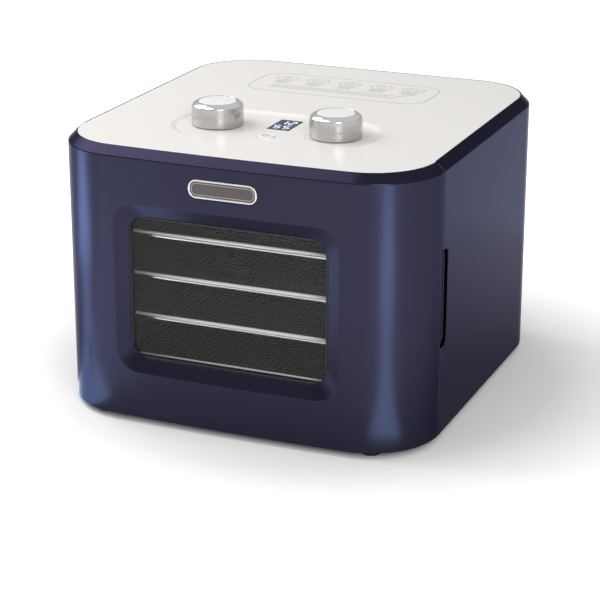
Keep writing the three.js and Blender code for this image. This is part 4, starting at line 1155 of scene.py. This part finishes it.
# %% [markdown]
# ## Display and power button
#
# The display is a dark window with four lit figures. A seven-segment figure is seven thin
# bars, so one table of which bars are lit serves for every figure.

# %% Display
screen_form = block(window_low, window_high)
display = make_object("display_glass", screen_form, screen)
place(soften(display, 0.25 * MM), "cabinet", "dark_glass", "display_window")

BARS = {
    "top": (0, 2, 1, 0), "middle": (0, 0, 1, 0), "bottom": (0, -2, 1, 0),
    "upper left": (-1, 1, 0, 1), "upper right": (1, 1, 0, 1),
    "lower left": (-1, -1, 0, 1), "lower right": (1, -1, 0, 1),
}
UNLIT = {
    "0": ["middle"], "1": ["top", "middle", "bottom", "upper left", "lower left"],
    "2": ["upper left", "lower right"], "5": ["upper right", "lower left"],
}
FIGURE_SIZE = (4.6 * MM, 8.6 * MM)
FIGURE_PITCH = (7.6 * MM, 13 * MM)
BAR_WIDTH = 1.1 * MM


def figure_bars(bm, figure, centre):
    """Adds the lit bars of one figure, as flat blocks with small gaps."""
    half_x, half_y = FIGURE_SIZE[0] / 2, FIGURE_SIZE[1] / 4
    for bar, (x, y, across, up) in BARS.items():
        if bar in UNLIT[figure]:
            continue
        size_x = (half_x - 0.7 * MM) if across else BAR_WIDTH / 2
        size_y = (half_y - 0.3 * MM) if up else BAR_WIDTH / 2
        bar_x, bar_y = centre[0] + x * half_x, centre[1] + y * half_y
        low = (bar_x - size_x, bar_y - size_y, window_high.z - 0.1 * MM)
        block(low, (bar_x + size_x, bar_y + size_y, window_high.z + 0.06 * MM), bm)


figures = bmesh.new()
display_middle = middle("display_window")
for row, text in enumerate(("12", "55")):
    for column, figure in enumerate(text):
        x = display_middle.x + (column - 0.5) * FIGURE_PITCH[0]
        y = display_middle.y + (0.5 - row) * FIGURE_PITCH[1]
        figure_bars(figures, figure, (x, y))
lit = make_object("display_figures", figures, digits)
place(lit, "cabinet", "dark_glass")
print("display bars:", len(lit.data.polygons) // 6)

# %% [markdown]
# The power button is turned, with a fine groove that sets off its ring. The usual power
# sign, an open ring with a bar in its gap, is printed on it.

# %% Power button
button_x, button_y, _ = middle("power_button")
button_profile = [
    (0, button_low.z), (1.6 * MM, button_low.z), (1.6 * MM, RECESS_FLOOR - 5.6 * MM),
    (8.4 * MM, RECESS_FLOOR - 5.6 * MM), (8.4 * MM, RECESS_FLOOR - 4.3 * MM),
    (6.8 * MM, RECESS_FLOOR - 4.2 * MM), (6.8 * MM, button_high.z - 0.5 * MM),
    (6.65 * MM, button_high.z - 0.15 * MM), (6.3 * MM, button_high.z), (5.75 * MM, button_high.z),
    (5.6 * MM, button_high.z - 0.22 * MM), (5.3 * MM, button_high.z - 0.22 * MM),
    (5.15 * MM, button_high.z - 0.02 * MM), (0, button_high.z - 0.1 * MM),
]
button = turned("button_skin", button_profile, (button_x, button_y, 0), white, steps=96)
place(button, "power_button", "white_panel", "power_button")


def power_mark():
    """The usual sign: an open ring with a bar in its gap."""
    bm = bmesh.new()
    bmesh.ops.create_grid(bm, x_segments=1, y_segments=1, size=0.5)
    bmesh.ops.scale(bm, vec=(0.5 * MM, 0.1 * MM, 1), verts=bm.verts[:])
    turn_all(bm, math.pi / 2, "X")
    move_all(bm, (2.3 * MM, 0, 0))
    turn_all(bm, math.radians(125), "Z")
    bmesh.ops.spin(
        bm, geom=bm.faces[:], cent=(0, 0, 0), axis=(0, 0, 1), dvec=(0, 0, 0),
        angle=math.radians(290), steps=30, use_duplicate=False,
    )
    block((-0.25 * MM, 0.6 * MM, -0.05 * MM), (0.25 * MM, 3.0 * MM, 0.05 * MM), bm)
    move_all(bm, (button_x, button_y, button_high.z))
    return bm


mark = make_object("power_mark", power_mark(), printed)
place(mark, "power_button", "grey_plastic")
print("power button at", round(button_y / MM), "mm")

# %% [markdown]
# ## Printing on the top
#
# Behind the controls a rounded outline holds a small guide to what can be dried. Its words
# are left out: short bars stand for them. The five signs are only a few strokes each. Print
# has no thickness to speak of, so each mark is a leaf of a tenth of a millimetre, half sunk.

# %% Printed guide
GUIDE_SIZE = (156 * MM, 62 * MM)
GUIDE_Y = 80 * MM
SIGN_Y = GUIDE_Y + 15 * MM
SIGN_PITCH = 28 * MM
LEAF = 0.1 * MM


def add_form(bm, form, move):
    """Adds a finished form to a bmesh, moved."""
    mesh = bpy.data.meshes.new("part")
    move_all(form, move)
    form.to_mesh(mesh)
    form.free()
    bm.from_mesh(mesh)
    bpy.data.meshes.remove(mesh)


def oval_ring(bm, centre, width, height, band):
    ring = ring_form(width, height, height / 2 - 0.02 * MM, band, LEAF, 10)
    add_form(bm, ring, (*centre, TOP - LEAF / 2))


def bar(bm, centre, width, height):
    low = (centre[0] - width / 2, centre[1] - height / 2, TOP - LEAF / 2)
    high = (centre[0] + width / 2, centre[1] + height / 2, TOP + LEAF / 2)
    block(low, high, bm)


guide = bmesh.new()
add_form(guide, ring_form(*GUIDE_SIZE, 18 * MM, 0.45 * MM, LEAF), (0, GUIDE_Y, TOP - LEAF / 2))
for i in range(5):
    x = (i - 2) * SIGN_PITCH
    oval_ring(guide, (x, SIGN_Y), 19 * MM, 12.5 * MM, 0.4 * MM)
    if i in (0, 3):
        oval_ring(guide, (x, SIGN_Y - 0.8 * MM), 6.5 * MM, 6 * MM, 0.35 * MM)
        bar(guide, (x, SIGN_Y + 3.4 * MM), 0.4 * MM, 2.2 * MM)
    elif i in (1, 4):
        oval_ring(guide, (x - 1 * MM, SIGN_Y), 9 * MM, 4 * MM, 0.35 * MM)
        bar(guide, (x + 4.8 * MM, SIGN_Y), 2.6 * MM, 0.4 * MM)
    else:
        oval_ring(guide, (x, SIGN_Y), 10 * MM, 5 * MM, 0.35 * MM)
        bar(guide, (x, SIGN_Y), 4 * MM, 0.4 * MM)
    bar(guide, (x, GUIDE_Y + 5 * MM), 15 * MM, 0.9 * MM)
    bar(guide, (x, GUIDE_Y + 1.4 * MM), 11 * MM, 0.6 * MM)
    bar(guide, (x, GUIDE_Y - 1.8 * MM), 13 * MM, 0.6 * MM)
for i, width in enumerate((118, 104, 112)):
    bar(guide, ((width - 122) / 2 * MM, GUIDE_Y - (9 + 4 * i) * MM), width * MM, 0.5 * MM)
printed_guide = make_object("printed_guide", guide, printed)
place(printed_guide, "cabinet", "grey_plastic")
print("printed guide:", len(printed_guide.data.polygons), "faces")

# %% [markdown]
# Beside each knob, on its inner side, three short strokes stand for its scale.

# %% Marks beside the knobs
MARK_RADIUS = 23.5 * MM
knob_marks = bmesh.new()
for side, knob in ((1, middle("knob_left")), (-1, middle("knob_right"))):
    for turn in (-38, -26, -14):
        angle = math.radians(turn)
        x = knob.x + side * MARK_RADIUS * math.cos(angle)
        y = knob.y + MARK_RADIUS * math.sin(angle)
        low = (x - 0.3 * MM, y - 0.9 * MM, RECESS_FLOOR - LEAF / 2)
        block(low, (x + 0.3 * MM, y + 0.9 * MM, RECESS_FLOOR + LEAF / 2), knob_marks)
scale_marks = make_object("knob_marks", knob_marks, printed)
place(scale_marks, "cabinet", "grey_plastic")
print("knob marks:", len(scale_marks.data.polygons) // 6)

# %% [markdown]
# ## Trays
#
# A tray is a round frame with a fine dark mesh and a bright rail along its front, which is
# what one sees of it through the window. Some eighty wires of one kind need little each, so
# a wire has six sides. The frame is a flat ring whose edges are bevelled until its section
# is nearly round. The rail takes a second material on the same mesh: a plain white, not a
# metal, which paints in the bright reflection that the chromed rail shows.

# %% Trays
MESH_PITCH = 5.6 * MM
WIRE = 0.4 * MM
RAIL = 1.2 * MM
RAIL_RISE = 0.5 * MM


def tray_frame(low, high):
    thick = high.z - low.z
    bm = ring_form(high.x - low.x, high.y - low.y, 5 * MM, thick, thick, 5)
    bmesh.ops.bevel(
        bm, geom=[e for e in bm.edges if e.calc_face_angle(0) > 1], offset=thick * 0.46,
        offset_type="OFFSET", segments=4, profile=0.5, affect="EDGES", material=-1,
    )
    move_all(bm, ((low.x + high.x) / 2, (low.y + high.y) / 2, low.z))
    rail_y, rail_z = low.y + RAIL, high.z + RAIL_RISE
    plain = set(bm.faces)
    rod((low.x + 6 * MM, rail_y, rail_z), (high.x - 6 * MM, rail_y, rail_z), RAIL, bm, 20)
    for face in bm.faces:
        face.material_index = int(face not in plain)
    return bm


def tray_mesh(low, high):
    """Wires both ways, one layer on the other."""
    bm = bmesh.new()
    edge = 1.5 * MM
    z = (low.z + high.z) / 2
    count_x = round((high.x - low.x) / MESH_PITCH)
    count_y = round((high.y - low.y) / MESH_PITCH)
    for i in range(1, count_x):
        x = low.x + (high.x - low.x) * i / count_x
        rod((x, low.y + edge, z - WIRE * 0.9), (x, high.y - edge, z - WIRE * 0.9), WIRE, bm, 6)
    for i in range(1, count_y):
        y = low.y + (high.y - low.y) * i / count_y
        rod((low.x + edge, y, z + WIRE * 0.9), (high.x - edge, y, z + WIRE * 0.9), WIRE, bm, 6)
    return bm


for i in range(1, 5):
    name = "tray_" + str(i)
    tray_low, tray_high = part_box(name)
    frame_piece = make_object(name + "_frame", tray_frame(tray_low, tray_high), chrome, rail_painted_reflection)
    frame_piece.data.shade_smooth()
    place(frame_piece, name, "tray_wire", name)
    mesh_piece = make_object(name + "_mesh", tray_mesh(tray_low, tray_high), dark_wire)
    mesh_piece.data.shade_smooth()
    place(mesh_piece, name, "tray_wire", name)
print("tray wires:", len(mesh_piece.data.polygons) // 8, "a tray")

# %% [markdown]
# ## Feet
#
# A rubber foot is a low turned pad with a round edge, a little hollow underneath so that it
# grips with its rim.

# %% Feet
for corner in ("front_left", "front_right", "rear_left", "rear_right"):
    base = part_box("foot_" + corner)[0].z
    foot_profile = [
        (0, base + 0.5 * MM), (5.2 * MM, base + 0.5 * MM), (5.6 * MM, base), (6.8 * MM, base),
        (7.25 * MM, base + 0.25 * MM), (7.5 * MM, base + 0.8 * MM), (8.0 * MM, base + 4.3 * MM),
        (7.8 * MM, base + 4.7 * MM), (3.0 * MM, base + 4.7 * MM), (3.0 * MM, base + 7.5 * MM),
        (0, base + 7.5 * MM),
    ]
    centre = middle("foot_" + corner)
    foot = turned("foot_pad_" + corner, foot_profile, (centre.x, centre.y, 0), rubber, steps=48)
    place(foot, "cabinet", "black_rubber", "foot_" + corner)
print("feet: 4")

# %% [markdown]
# ## Back cover
#
# Air is drawn in through the louvres of the back cover. They are round-ended slots, cut in
# one pass and then softened with the cover's own edge.

# %% Back cover
fan_centre = middle("fan_guard")
inlet_low, inlet_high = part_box("mains_inlet")
SLOT_SIZE = (116 * MM, 4 * MM)
SLOT_PITCH = 10 * MM


def build_cover():
    width, height, middle_z = face_size("back_cover")
    centre = (0, middle_z)
    form = upright_plate(width, height, 8 * MM, (cover_low.y, cover_high.y), centre)
    obj = make_object("cover_skin", form, black)
    through = (cover_low.y - 1 * MM, cover_high.y + 1 * MM)
    slots = [
        upright_plate(*SLOT_SIZE, 1.9 * MM, through, (0, fan_centre.z + i * SLOT_PITCH), 5)
        for i in range(-4, 5)
    ]
    room = Vector((0.3, 5, 0.3)) * MM
    holes = [block(inlet_low - room, inlet_high + room)]
    for i in range(1, 5):
        screw = middle("cover_screw_" + str(i))
        ends = [(screw.x, y, screw.z) for y in through]
        holes.append(rod(*ends, 3.3 * MM, segments=32))
    carve(obj, slots + holes)
    return soften(clean(obj), 0.35 * MM)


cover = place(build_cover(), "cabinet", "black_plastic", "back_cover")
print("back cover:", len(cover.data.polygons), "faces")

# %% [markdown]
# The cover's screws are turned heads with a cross cut into them.

# %% Cover screws
for i in range(1, 5):
    name = "cover_screw_" + str(i)
    screw_low, screw_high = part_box(name)
    centre = (screw_low + screw_high) / 2
    head = rounded_profile(3 * MM, -1.6 * MM, 0, 0.8 * MM, 0.5 * MM)
    screw = turned(
        name + "_head", head, (centre.x, screw_high.y, centre.z), steel, steps=40, axis="Y",
    )
    cross = []
    for half_x, half_z in ((1.5 * MM, 0.3 * MM), (0.3 * MM, 1.5 * MM)):
        low = (centre.x - half_x, screw_high.y - 0.9 * MM, centre.z - half_z)
        cross.append(block(low, (centre.x + half_x, screw_high.y + 1 * MM, centre.z + half_z)))
    carve(screw, cross)
    screw.data.set_sharp_from_angle(angle=math.radians(35))
    place(screw, "cabinet", "steel", name)
print("cover screws: 4")

# %% [markdown]
# ## The parts that stay as they are
#
# The liner, the drying chamber, the fan, the heater and the boards keep their CAD shapes.
# They are plain in life too, and lie behind the door or under the top. Each only takes a
# finish from the list above.

# %% Finishes of the inner parts
KEPT = {
    black: ["base_plate", "mains_inlet", "front_frame", "door_liner", "fan_impeller",
            "thermal_cutout", "display_module", "power_switch"],
    grey: ["left_wall", "right_wall", "chamber_top", "chamber_floor", "encoder_left",
           "encoder_right"],
    rubber: ["glass_gasket"],
    steel: ["door_magnet", "hinge_pin_lower", "hinge_pin_upper", "rear_baffle", "motor_bracket",
            "heater_coil", "fan_shaft", "encoder_shaft_left", "encoder_shaft_right",
            "temperature_probe"],
    chrome: ["catch_plate", "fan_guard"],
    satin: ["crumb_tray", "fan_motor"],
    brass: ["inlet_pin_left", "inlet_pin_right"],
    mica: ["heater_frame"],
    circuit: ["control_board", "power_board"],
}
for material, names in KEPT.items():
    for name in names:
        nodes[name].data.materials.clear()
        nodes[name].data.materials.append(material)
print("kept from the CAD model:", sum(len(names) for names in KEPT.values()), "nodes")
